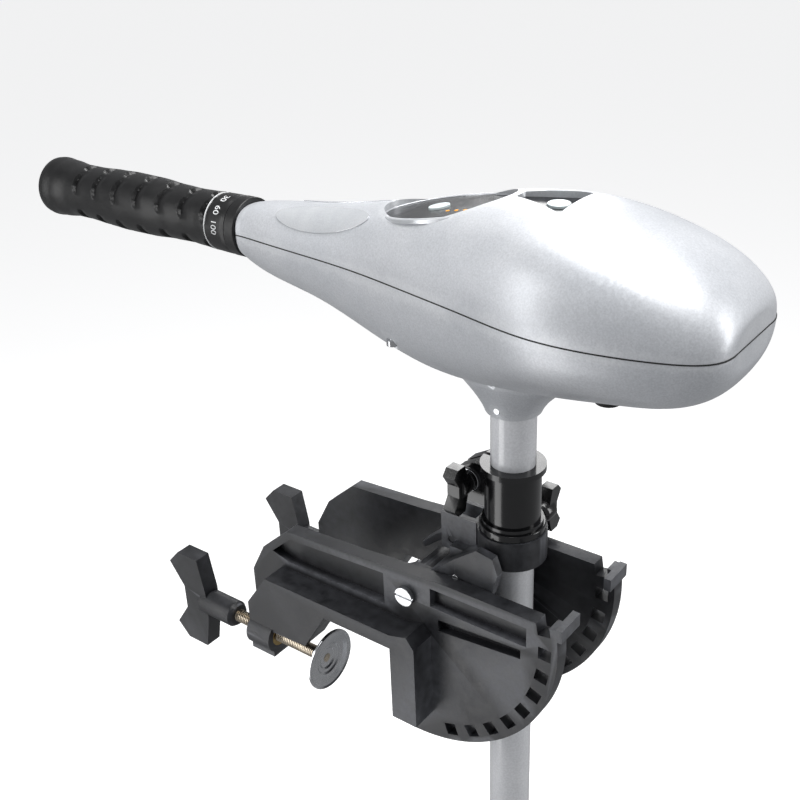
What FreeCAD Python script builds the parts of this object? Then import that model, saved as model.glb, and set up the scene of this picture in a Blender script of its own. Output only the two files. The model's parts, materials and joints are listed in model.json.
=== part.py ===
import FreeCAD, Part
import math
import os
import re
import Sketcher

# Electric trolling motor with a hand tiller, clamped on a boat's transom.
#
# Row frame, in millimetres: +Z up, -X inboard (towards the tiller grip), +X outboard
# (towards the propeller), -Y the left plate of the bracket.  The origin is on the flat face
# that bears on the transom's outer side, in the plane of symmetry, level with the clamp
# screws.

V = FreeCAD.Vector
doc = FreeCAD.newDocument("trolling_motor")
sheet = doc.addObject("Spreadsheet::Sheet", "dims")

# name, value, what it is
SIZES = [
    # shaft and its place
    ("shaft_radius", 14.3, "outside radius of the composite shaft"),
    ("shaft_wall", 2.6, "wall of the shaft"),
    ("shaft_length", 914, "length of the shaft"),
    ("shaft_x", 56, "shaft axis, outboard of the transom face"),
    ("shaft_top", 236, "height of the shaft's upper end, inside the neck"),
    ("running_gap", 0.06, "radial running clearance of a shaft in its bore"),
    ("free_gap", 0.4, "clearance between pieces that pass each other"),
    # bracket side plates
    ("plate_gap", 63, "distance between the inner faces of the two side plates"),
    ("plate_depth", 10.9, "depth of a side plate across its ribs"),
    ("web_thickness", 4.5, "wall left behind the pockets of a side plate"),
    ("arm_depth", 19.6, "how far the clamp arm stands out from its plate"),
    ("plate_top", 95, "height of the outboard half of the plate's top edge"),
    ("rim_radius", 113.5, "outer radius of the notched rim about the pivot"),
    ("plate_nose", 142, "how far inboard the plates reach"),
    ("window_radius", 104.5, "radius of the middle of the latch windows"),
    ("window_size", 9, "side of a square latch window"),
    ("window_pitch", 10, "angle between latch windows"),
    ("window_first", 9, "angle of the highest window above the pivot's level"),
    ("lug_length", 11.5, "how far the end lugs stand in from the plates"),
    ("transom_top", 43, "height of the underside of the clamp arm"),
    ("jaw_depth", 20, "outboard depth of the jaw"),
    ("jaw_bottom", 15, "how far the jaw reaches below the clamp screws"),
    ("leg_inner", 109, "inboard distance of the clamp leg's inner side"),
    ("leg_outer", 131, "inboard distance of the clamp leg's outer side"),
    ("seat_thickness", 8, "thickness of the cross member"),
    ("seat_screw_radius", 2.5, "radius of the screws into the cross member"),
    ("seat_screw_low", -5, "height of the lower screws into the cross member"),
    ("seat_screw_high", 30, "height of the upper screws into the cross member"),
    ("seat_screw_reach", 14, "how far those screws reach into the cross member"),
    # pivot
    ("pivot_x", 1, "pivot axis, outboard of the transom face"),
    ("pivot_z", 75.5, "height of the pivot axis"),
    ("bolt_radius", 4.75, "radius of the pivot bolt"),
    ("bolt_head_radius", 7, "radius of the pivot bolt's head"),
    ("bolt_head_height", 4, "height of the pivot bolt's head"),
    ("bolt_slot_width", 1.6, "width of the slot in the pivot bolt's head"),
    ("bolt_slot_depth", 1.6, "depth of that slot"),
    ("bolt_tip", 9, "thread of the pivot bolt left for its nut"),
    ("pivot_nut_flats", 16, "distance across the flats of the pivot nut"),
    ("pivot_nut_height", 7, "height of the pivot nut"),
    # clamp screws
    ("screw_y", 54, "distance of a clamp screw from the middle plane"),
    ("screw_radius", 4.7625, "outside radius of a clamp screw's thread"),
    ("pad_radius", 22.5, "radius of the clamp's cup pad"),
    ("pad_x", 60, "inboard distance of the pad's pressing face"),
    ("pad_depth", 10, "depth of the cup pad"),
    ("insert_radius", 8, "outside radius of the threaded insert"),
    ("knob_x", 151, "inboard distance of the clamp knob's hub end"),
    ("knob_hub_radius", 10, "radius of the clamp knob's hub"),
    ("knob_hub_length", 30, "length of the clamp knob's hub"),
    ("knob_span", 80, "span of the clamp knob's wings"),
    ("knob_chord", 34, "depth of a wing along the screw"),
    ("knob_thickness", 13, "thickness of a wing"),
    # tilt yoke
    ("cheek_outer", 30.5, "outer face of a yoke cheek from the middle plane"),
    ("cheek_thickness", 6, "thickness of a yoke cheek"),
    ("ring_radius", 22.5, "outside radius of the steering hinge ring"),
    ("ring_bottom", 106, "height of the hinge ring's lower edge"),
    ("ring_height", 20.5, "height of the hinge ring"),
    ("bushing_wall", 2.4, "wall of the nylon steering bushing"),
    ("thrust_height", 5, "height of the thrust ring under the collar"),
    ("thrust_radius", 21.5, "outside radius of the thrust ring"),
    ("pin_radius", 3.5, "radius of a latch pin"),
    ("pin_travel", 6, "travel of a latch pin"),
    ("rod_travel", 10, "travel of the latch rod"),
    ("peg_radius", 1.5, "radius of a latch pin's drive peg"),
    ("peg_y", 8, "distance of a drive peg from the middle plane, released"),
    ("arm_half_width", 19, "half width of the yoke's latch arm"),
    ("arm_inner_x", 20, "inboard side of the yoke's latch arm"),
    ("arm_outer_x", 40.5, "outboard side of the yoke's latch arm"),
    ("cam_x", 26, "inboard side of the cam plate"),
    ("cam_thickness", 3, "thickness of the cam plate"),
    ("rod_radius", 3, "radius of the latch rod"),
    ("lever_x", 16, "lever axle, outboard of the transom face"),
    ("lever_z", 107, "height of the lever axle"),
    ("lever_width", 12, "width of the release lever"),
    ("lever_axle_radius", 2.5, "radius of the lever's axle"),
    ("cheek_screw_radius", 1.6, "radius of the screws in the yoke's cheeks"),
    ("cheek_screw_head", 2.6, "radius of those screws' heads"),
    # depth collar and the two tension knobs
    ("collar_height", 42, "height of the depth collar"),
    ("collar_radius", 18, "outside radius of the depth collar's barrel"),
    ("flange_radius", 20.8, "radius of the collar's top flange"),
    ("flange_height", 4, "height of the collar's top flange"),
    ("ear_reach", 35, "how far the collar's ears reach from the shaft axis"),
    ("ear_split", 3, "gap between the two ears"),
    ("ear_thickness", 9, "thickness of one ear"),
    ("stud_radius", 3.1, "radius of the studs of the small knobs"),
    ("stud_distance", 26, "distance of the collar stud from the shaft axis"),
    ("small_span", 33, "span of a small wing knob"),
    ("small_chord", 13, "depth of a small wing along its stud"),
    ("small_thickness", 9, "thickness of a small wing"),
    ("small_hub_radius", 7, "hub radius of a small knob"),
    # head
    ("head_front", 149, "inboard distance of the head's front end"),
    ("head_length", 346, "length of the head"),
    ("head_half_width", 62.5, "largest half width of the head"),
    ("head_rise", 56, "largest height of the cover above the seam"),
    ("head_drop", 60, "largest depth of the housing below the seam"),
    ("seam_z", 290, "height of the seam and of the tiller axis"),
    ("head_wall", 3, "wall of the head's shells"),
    ("neck_bottom", 211, "height of the neck's lower end"),
    ("neck_radius", 17.6, "outside radius of the neck's lower end"),
    ("neck_top_radius", 40, "outside radius of the neck where it meets the head"),
    ("neck_top", 236, "height where the neck meets the head"),
    ("panel_x", 12, "middle of the oval panel, outboard of the transom face"),
    ("panel_z", 329.5, "height of the middle of the oval panel"),
    ("panel_tilt", 11, "slope of the oval panel"),
    ("panel_half_length", 44, "half length of the oval panel"),
    ("panel_half_width", 27, "half width of the oval panel"),
    ("panel_thickness", 3, "thickness of the panels"),
    ("post_radius", 5, "radius of the screw posts in the head"),
    ("post_foot", 240, "height where the screw posts of the housing start"),
    ("head_screw_radius", 1.9, "radius of the screws that close the head"),
    ("head_screw_head", 3.6, "radius of those screws' heads"),
    ("head_screw_recess", 4, "radius of the recess for such a head"),
    ("head_screw_seat", 3.9, "height of such a head"),
    ("front_screw_x", -14, "the two inboard screws, outboard of the transom face"),
    ("front_screw_y", 27, "their distance from the middle plane"),
    ("front_screw_z", 246, "height of their heads"),
    ("front_screw_shank", 44, "length of their shanks"),
    ("rear_screw_x", 134, "the two outboard screws, outboard of the transom face"),
    ("rear_screw_y", 30, "their distance from the middle plane"),
    ("rear_screw_z", 258, "height of their heads"),
    ("rear_screw_shank", 40, "length of their shanks"),
    ("neck_screw_radius", 2.1, "radius of the screw that holds the shaft in the neck"),
    ("neck_screw_rise", 6, "height of that screw above the neck's lower end"),
    ("lamp_radius", 1.2, "radius of a meter lamp"),
    ("lamp_pitch", 6, "distance between meter lamps"),
    ("lamp_y", -9, "place of the row of lamps across the panel"),
    ("badge_half_length", 40, "half length of the oval badges"),
    ("badge_half_height", 10.5, "half height of the oval badges"),
    ("badge_place", 75, "middle of a badge from the head's front end"),
    ("badge_drop", 6, "how far a badge's middle plane starts below the seam"),
    ("badge_turn", 28, "how far a badge leans back with the cover"),
    ("badge_thickness", 0.6, "thickness of a badge"),
    ("gland_offset", 62, "cord gland, outboard of the shaft axis"),
    ("gland_z", 236, "height of the gland's shoulder"),
    ("gland_radius", 5.2, "radius of the gland's barrel"),
    ("gland_flange", 8, "radius of the gland's outer flange"),
    ("gland_bore", 3.4, "radius of the cord's hole"),
    ("board_length", 70, "length of the circuit board"),
    ("board_width", 64, "width of the circuit board"),
    ("board_thickness", 1.6, "thickness of the circuit board"),
    ("pot_radius", 12, "radius of the speed control"),
    ("pot_length", 18, "length of the speed control"),
    ("button_radius", 6.5, "radius of the push buttons"),
    ("button_proud", 1.4, "how far a push button stands out"),
    ("rear_panel_x", 77, "middle of the rear panel, outboard of the transom face"),
    ("rear_panel_length", 36, "length of the rear panel"),
    ("rear_panel_front_width", 10, "width of the rear panel beside the oval"),
    ("rear_panel_width", 42, "width of the rear panel at its outboard edge"),
    ("rear_panel_z", 341.5, "height of the rear panel's top face"),
    # tiller
    ("grip_radius", 20, "main radius of the grip"),
    ("grip_length", 205, "length of the grip"),
    ("grip_flare", 22, "radius of the grip's flared end"),
    ("grip_wall", 4, "wall of the grip"),
    ("tube_radius", 12.7, "outside radius of the telescoping tube"),
    ("tube_wall", 1.6, "wall of the telescoping tube"),
    ("tube_inside", 185, "length of the tube kept inside the head"),
    ("rod_flats", 8, "distance across the flats of the control rod"),
    ("scale_length", 9, "length of the ring beside the head"),
    # lower unit
    ("pod_radius", 45, "outside radius of the motor housing"),
    ("pod_wall", 3.5, "wall of the motor housing"),
    ("pod_length", 140, "length of the motor housing"),
    ("nose_length", 72, "length of the nose end bell"),
    ("tail_length", 52, "length of the tail end bell"),
    ("tail_radius", 30, "outside radius of the tail end bell's small end"),
    ("socket_radius", 20, "outside radius of the socket that holds the shaft"),
    ("socket_length", 52, "depth of the shaft's socket above the housing axis"),
    ("skeg_depth", 152, "reach of the skeg below the motor axis"),
    ("axle_radius", 4.7, "radius of the motor's own shaft"),
    ("lead_radius", 2.6, "radius of a motor lead"),
    ("lead_spread", 4, "distance of a motor lead from the shaft's axis"),
    ("bearing_radius", 8, "outside radius of the nose bearing"),
    ("tail_bearing_radius", 11, "outside radius of the tail bearing"),
    ("magnet_thickness", 9, "thickness of the field magnets"),
    ("commutator_radius", 13, "radius of the commutator"),
    ("commutator_length", 20, "length of the commutator"),
    ("brush_reach", 20, "length of a brush"),
    ("skeg_thickness", 7, "thickness of the skeg"),
    ("core_radius", 28, "radius of the armature core"),
    ("core_length", 74, "length of the armature core"),
    ("hub_radius", 29, "radius of the propeller's hub"),
    ("hub_length", 52, "length of the propeller's hub"),
    ("blade_reach", 120, "radius of the propeller's tip circle"),
    ("blade_half", 1.8, "half of a blade's thickness"),
    ("drive_pin_radius", 2.4, "radius of the propeller's drive pin"),
    ("prop_nut_flats", 22, "distance across the flats of the propeller nut"),
    ("prop_nut_height", 9, "height of the propeller nut's flats"),
]
for row, (alias, number, note) in enumerate(SIZES, start=1):
    sheet.set("A%d" % row, alias)
    sheet.set("B%d" % row, str(number))
    sheet.setAlias("B%d" % row, alias)
    sheet.set("C%d" % row, note)
doc.recompute()

ALIAS = re.compile(r"\b[a-z][a-z_]+\b(?!\()")
nodes = []


def formula(text):
    """The expression for a size written in plain aliases."""
    return ALIAS.sub(lambda word: "dims." + word.group(), str(text))


def size(text):
    """The number that a size written in plain aliases comes to."""
    return float(sheet.evalExpression(formula(text)))


def moved(thing, at, turn=None):
    """Binds an object's place to the sheet, after an optional turn (axis, degrees)."""
    rotation = FreeCAD.Rotation(*turn) if turn else FreeCAD.Rotation()
    thing.Placement = FreeCAD.Placement(V(*[size(place) for place in at]), rotation)
    for letter, place in zip("xyz", at):
        thing.setExpression("Placement.Base." + letter, formula(place))
    return thing


X_AXIS = V(1, 0, 0)
Y_AXIS = V(0, 1, 0)
Z_AXIS = V(0, 0, 1)
TURNS = {"Z": None, "X": (Y_AXIS, 90), "Y": (X_AXIS, -90)}


def rod(name, radius, length, at, axis="Z"):
    """A cylinder that starts at a point and runs along one axis."""
    thing = doc.addObject("Part::Cylinder", name)
    thing.setExpression("Radius", formula(radius))
    thing.setExpression("Height", formula(length))
    return moved(thing, at, TURNS[axis])


def hexagon(name, flats, length, at, axis="Z"):
    """A six-sided bar from its distance across flats."""
    thing = doc.addObject("Part::Prism", name)
    thing.Polygon = 6
    thing.setExpression("Circumradius", formula("(%s) / 2 / cos(30)" % flats))
    thing.setExpression("Height", formula(length))
    return moved(thing, at, TURNS[axis])


def block(name, lengths, at):
    """A box from its three lengths and its lowest corner."""
    thing = doc.addObject("Part::Box", name)
    for side, length in zip(("Length", "Width", "Height"), lengths):
        thing.setExpression(side, formula(length))
    return moved(thing, at)


def joined(name, pieces):
    thing = doc.addObject("Part::MultiFuse", name)
    thing.Shapes = pieces
    thing.Refine = True
    return thing


def without(name, base, tools):
    """A base with one or more tools cut from it."""
    thing = doc.addObject("Part::Cut", name)
    thing.Base = base
    thing.Tool = tools[0] if len(tools) == 1 else joined(name + "_tools", tools)
    thing.Refine = True
    return thing


def shared(name, base, tool):
    thing = doc.addObject("Part::Common", name)
    thing.Base = base
    thing.Tool = tool
    return thing


def grouped(name, pieces):
    """Separate solids that share one node."""
    thing = doc.addObject("Part::Compound", name)
    thing.Links = pieces
    return thing


def pipe(name, outer, inner, length, at, axis="Z"):
    return without(name, rod(name + "_outside", outer, length, at, axis),
                   [rod(name + "_bore", inner, length, at, axis)])


def outlined(body, role, outline, name):
    """A closed sketch of straight lines whose corners are bound to the sheet."""
    sketch = body.newObject("Sketcher::SketchObject", name)
    plane = [face for face in body.Origin.OriginFeatures if face.Role == role][0]
    sketch.AttachmentSupport = [(plane, "")]
    sketch.MapMode = "FlatFace"
    corners = [V(size(across), size(up), 0) for across, up in outline]
    for start, end in zip(corners, corners[1:] + corners[:1]):
        sketch.addGeometry(Part.LineSegment(start, end), False)
    for index in range(len(corners)):
        following = (index + 1) % len(corners)
        sketch.addConstraint(Sketcher.Constraint("Coincident", index, 2, following, 1))
    for index, (across, up) in enumerate(outline):
        for kind, place in (("DistanceX", across), ("DistanceY", up)):
            number = sketch.addConstraint(Sketcher.Constraint(kind, -1, 1, index, 1, size(place)))
            sketch.setExpression("Constraints[%d]" % number, formula(place))
    return sketch


def turned(name, outline, at, axis="Z"):
    """A body turned about an axis: corners are (radius, height), or (length, radius) along X."""
    body = doc.addObject("PartDesign::Body", name)
    role = "XY_Plane" if axis == "Y" else "XZ_Plane"
    sketch = outlined(body, role, outline, name + "_profile")
    doc.recompute()
    spin = body.newObject("PartDesign::Revolution", name + "_spin")
    spin.Profile = sketch
    spin.ReferenceAxis = (sketch, ["H_Axis" if axis == "X" else "V_Axis"])
    spin.Angle = 360
    return moved(body, at)


def padded(name, outline, thickness, at, role="XZ_Plane", turn=None):
    """A flat outline with half of its thickness on each side of its plane."""
    body = doc.addObject("PartDesign::Body", name)
    sketch = outlined(body, role, outline, name + "_outline")
    doc.recompute()
    pad = body.newObject("PartDesign::Pad", name + "_pad")
    pad.Profile = sketch
    pad.Midplane = True
    pad.setExpression("Length", formula(thickness))
    return moved(body, at, turn)


def shaped(name, shape):
    """A free-form piece whose shape is worked out here from the sheet's sizes."""
    thing = doc.addObject("Part::Feature", name)
    thing.Shape = shape
    return thing


def node(name, thing):
    """Marks an object as a finished sub-part."""
    thing.Label = name
    nodes.append(thing)
    return thing


def side_name(side):
    return "left" if side < 0 else "right"


# ---------------------------------------------------------------- bracket

WINDOW_COUNT = 9
SEAT_SCREWS = ("seat_screw_low", "seat_screw_high")
PLATE_OUTLINE = [
    ("-plate_nose", "18"),
    ("-plate_nose", "40"),
    ("13 - plate_nose", "64"),
    ("38 - plate_nose", "plate_top - 9"),
    ("pivot_x - 45", "plate_top - 6"),
    ("pivot_x + 28", "plate_top"),
    ("pivot_x + rim_radius", "plate_top"),
    ("pivot_x + rim_radius", "pivot_z - rim_radius"),
    ("0", "pivot_z - rim_radius"),
    ("0", "transom_top"),
    ("45 - leg_inner", "transom_top"),
    ("-leg_inner", "12"),
    ("-leg_inner", "2 - jaw_bottom"),
    ("2 - leg_outer", "2 - jaw_bottom"),
]
ARM_OUTLINE = [
    ("-leg_outer", "-jaw_bottom"),
    ("-leg_outer", "26"),
    ("20 - leg_outer", "transom_top + 11"),
    ("0", "transom_top + 11"),
    ("jaw_depth - 6", "transom_top + 15"),
    ("jaw_depth", "transom_top + 7"),
    ("jaw_depth", "-jaw_bottom"),
    ("0", "-jaw_bottom"),
    ("0", "transom_top"),
    ("52 - leg_inner", "transom_top"),
    ("32 - leg_inner", "10"),
    ("-leg_inner", "8"),
    ("-leg_inner", "-jaw_bottom"),
]
POCKETS = [
    [("22 - plate_nose", "64"), ("40 - plate_nose", "plate_top - 15"),
     ("pivot_x - 19", "plate_top - 10"), ("pivot_x - 19", "60"), ("38 - plate_nose", "60")],
    [("pivot_x + 19", "plate_top - 7"), ("pivot_x + rim_radius - 22", "plate_top - 7"),
     ("pivot_x + rim_radius - 22", "pivot_z - 2"), ("pivot_x + 19", "pivot_z - 2")],
    [("jaw_depth + 6", "pivot_z - 10"), ("pivot_x + rim_radius - 26", "pivot_z - 6"),
     ("pivot_x + rim_radius - 26", "pivot_z - 13"), ("jaw_depth + 6", "pivot_z - 19")],
]


def side_plate(side):
    """A moulded plate: ribs and pockets, a notched rim about the pivot and a clamp arm."""
    name = "side_plate_" + side_name(side)
    middle = "%d * (plate_gap / 2 + plate_depth / 2)" % side
    outer_face = "%d * (plate_gap / 2 + plate_depth)" % side
    low_face = "%s - plate_depth / 2" % middle
    blank = padded(name + "_blank", PLATE_OUTLINE, "plate_depth", ("0", middle, "0"))
    disc = rod(name + "_disc", "rim_radius", "plate_depth", ("pivot_x", low_face, "pivot_z"), "Y")
    beam = block(name + "_beam", ("plate_nose + pivot_x", "plate_depth", "plate_top * 2"),
                 ("-plate_nose", low_face, "-plate_top"))
    plate = shared(name + "_plate", blank, joined(name + "_limits", [disc, beam]))
    arm = padded(name + "_arm", ARM_OUTLINE, "arm_depth + 2",
                 ("0", "%d * (plate_gap / 2 + plate_depth + arm_depth / 2 - 1)" % side, "0"))
    boss = rod(name + "_boss", "insert_radius + 5", "leg_outer - leg_inner",
               ("-leg_outer", "%d * screw_y" % side, "0"), "X")
    lug_middle = "%d * (plate_gap / 2 - lug_length / 2 + plate_depth / 2)" % side
    lug = block(name + "_lug", ("5", "lug_length + plate_depth", "9"),
                ("pivot_x + rim_radius - 2.5", lug_middle + " - (lug_length + plate_depth) / 2",
                 "plate_top - 8"))
    hub = rod(name + "_hub", "bolt_head_radius + 6", "plate_depth",
              ("pivot_x", low_face, "pivot_z"), "Y")
    tools = [padded("%s_pocket_%d" % (name, number), outline, "2 * (plate_depth - web_thickness)",
                    ("0", outer_face, "0"))
             for number, outline in enumerate(POCKETS)]
    square = [("%s * window_size / 2" % across, "%s * window_size / 2" % up)
              for across, up in (("-1", "-1"), ("1", "-1"), ("1", "1"), ("-1", "1"))]
    for number in range(WINDOW_COUNT):
        angle = "(window_first - %d * window_pitch)" % number
        at = ("pivot_x + window_radius * cos%s" % angle, middle,
              "pivot_z + window_radius * sin%s" % angle)
        tools.append(padded("%s_window_%d" % (name, number), square, "plate_depth + 4", at,
                            turn=(Y_AXIS, -size(angle))))
    body = without(name + "_cut", joined(name + "_solid", [plate, arm, boss, lug]), tools)
    through = "plate_depth + 2"
    below_face = low_face + " - 1"
    bores = [
        rod(name + "_bolt_hole", "bolt_radius", through, ("pivot_x", below_face, "pivot_z"), "Y"),
        rod(name + "_insert_hole", "insert_radius", "leg_outer - leg_inner + 2",
            ("-leg_outer - 1", "%d * screw_y" % side, "0"), "X"),
    ]
    for height in SEAT_SCREWS:
        bores.append(rod(name + "_" + height, "seat_screw_radius", through,
                         ("seat_thickness / 2", below_face, height), "Y"))
    return node(name, without(name, joined(name + "_with_hub", [body, hub]), bores))


def bracket():
    for side in (-1, 1):
        side_plate(side)
    bar = block("transom_seat_bar", ("seat_thickness", "plate_gap", "transom_top + jaw_bottom"),
                ("0", "-plate_gap / 2", "-jaw_bottom"))
    middle_x = "seat_thickness / 2"
    shank = "plate_depth + seat_screw_reach"
    taps = []
    screws = []
    for side in (-1, 1):
        tap_start = "%d * (plate_gap / 2 - seat_screw_reach / 2 - 1) - seat_screw_reach / 2 - 1" % side
        start = "%d * (plate_gap / 2 - seat_screw_reach + (%s) / 2) - (%s) / 2" % (side, shank, shank)
        for height in SEAT_SCREWS:
            tag = "%s_%s" % (height, side_name(side))
            taps.append(rod("tap_" + tag, "seat_screw_radius", "seat_screw_reach + 2",
                            (middle_x, tap_start, height), "Y"))
            screws.append(rod("screw_" + tag, "seat_screw_radius", shank,
                              (middle_x, start, height), "Y"))
    node("transom_seat", without("transom_seat", bar, taps))
    node("bracket_screws", grouped("bracket_screws", screws))
    face = "(plate_gap / 2 + plate_depth)"
    bolt = joined("pivot_bolt_solid", [
        rod("pivot_bolt_shank", "bolt_radius", "2 * %s + bolt_tip" % face,
            ("pivot_x", "-" + face, "pivot_z"), "Y"),
        rod("pivot_bolt_head", "bolt_head_radius", "bolt_head_height",
            ("pivot_x", "-%s - bolt_head_height" % face, "pivot_z"), "Y")])
    slot = block("pivot_bolt_slot", ("3 * bolt_head_radius", "bolt_slot_depth + 0.4", "bolt_slot_width"),
                 ("pivot_x - 1.5 * bolt_head_radius", "-%s - bolt_head_height - 0.4" % face,
                  "pivot_z - bolt_slot_width / 2"))
    node("pivot_bolt", without("pivot_bolt", bolt, [slot]))
    nut_at = ("pivot_x", face, "pivot_z")
    nut = hexagon("pivot_nut_hex", "pivot_nut_flats", "pivot_nut_height", nut_at, "Y")
    nut_bore = rod("pivot_nut_bore", "bolt_radius", "pivot_nut_height", nut_at, "Y")
    node("pivot_nut", without("pivot_nut", nut, [nut_bore]))
    node("clamp_inserts", grouped("clamp_inserts", [
        pipe("clamp_insert_" + side_name(side), "insert_radius", "screw_radius + running_gap",
             "leg_outer - leg_inner", ("-leg_outer", "%d * screw_y" % side, "0"), "X")
        for side in (-1, 1)]))


def wing_knob(name, hub_radius, hub_length, span, chord, thickness, bore, bore_length, at, turn):
    """A moulded butterfly knob: its hub starts at the given point, its wings stand at the far end."""
    near = "(%s)" % hub_length
    half = "(%s) / 2" % span
    hub = turned(name + "_hub", [
        ("0", "0"), ("0", "(%s) * 0.8" % hub_radius), ("3", hub_radius), (near + " + 4", hub_radius),
        (near + " + (%s) * 0.4" % chord, "0")], ("0", "0", "0"), "X")
    wing = [(near + " - 2", "0.3 * (%s)" % half), (near + " + 0.1 * (%s)" % chord, half),
            (near + " + 0.7 * (%s)" % chord, half), (near + " + (%s)" % chord, "0.72 * (%s)" % half),
            (near + " + 0.62 * (%s)" % chord, "0.25 * (%s)" % half)]
    outline = wing + [(across, "-(%s)" % up) for across, up in reversed(wing)]
    wings = padded(name + "_wings", outline, thickness, ("0", "0", "0"))
    solid = joined(name + "_solid", [hub, wings])
    tool = rod(name + "_bore", bore, bore_length, ("0", "0", "0"), "X")
    return node(name, moved(without(name, solid, [tool]), at, turn))


def clamp(side):
    """One clamp: a threaded screw, its wing knob and the cup pad that swivels on its tip."""
    tag = side_name(side)
    lateral = "%d * screw_y" % side
    tip = "screw_radius - 1.5"
    node("clamp_screw_" + tag, turned("clamp_screw_" + tag, [
        ("-knob_x - 20", "0"), ("-knob_x - 20", "screw_radius"), ("-pad_x - 13", "screw_radius"),
        ("-pad_x - 13", tip), ("-pad_x - 4", tip), ("-pad_x - 4", "0")],
        ("0", lateral, "0"), "X"))
    wing_knob("clamp_knob_" + tag, "knob_hub_radius", "knob_hub_length", "knob_span", "knob_chord",
              "knob_thickness", "screw_radius", "20", ("-knob_x", lateral, "0"), (Z_AXIS, 180))
    bore = tip + " + running_gap"
    node("cup_pad_" + tag, turned("cup_pad_" + tag, [
        ("0", "pad_radius"), ("-2", "pad_radius"), ("-5.5", "0.55 * pad_radius"),
        ("-6", "screw_radius + 3"),
        ("-pad_depth - 2", "screw_radius + 3"), ("-pad_depth - 2", bore), ("-3", bore),
        ("-3", "0.5 * pad_radius"), ("0", "pad_radius - 2")],
        ("-pad_x", lateral, "0"), "X"))


# ---------------------------------------------------------------- tilt yoke and latch

CHEEK_OUTLINE = [
    ("pivot_x - 15", "pivot_z - 6"),
    ("pivot_x - 13", "pivot_z + 9"),
    ("pivot_x - 4", "pivot_z + 14.5"),
    ("pivot_x + 9", "pivot_z + 14.5"),
    ("pivot_x + 30", "ring_bottom + 2"),
    ("shaft_x - 8", "ring_bottom + 15"),
    ("shaft_x + 4", "ring_bottom + 13"),
    ("shaft_x + 8", "ring_bottom + 2"),
    ("shaft_x + 3", "ring_bottom - 16"),
    ("pivot_x + 39", "pivot_z - 12"),
    ("pivot_x + 9", "pivot_z - 17"),
    ("pivot_x - 8", "pivot_z - 14"),
]
SHELF_OUTLINE = [
    ("pivot_x + 9", "pivot_z + 14.5"),
    ("pivot_x + 30", "ring_bottom + 2"),
    ("shaft_x - 8", "ring_bottom + 9"),
    ("shaft_x + 4", "ring_bottom + 7"),
    ("shaft_x + 4", "ring_bottom"),
    ("pivot_x + 34", "ring_bottom - 2"),
    ("pivot_x + 13", "pivot_z + 11"),
]


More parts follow.
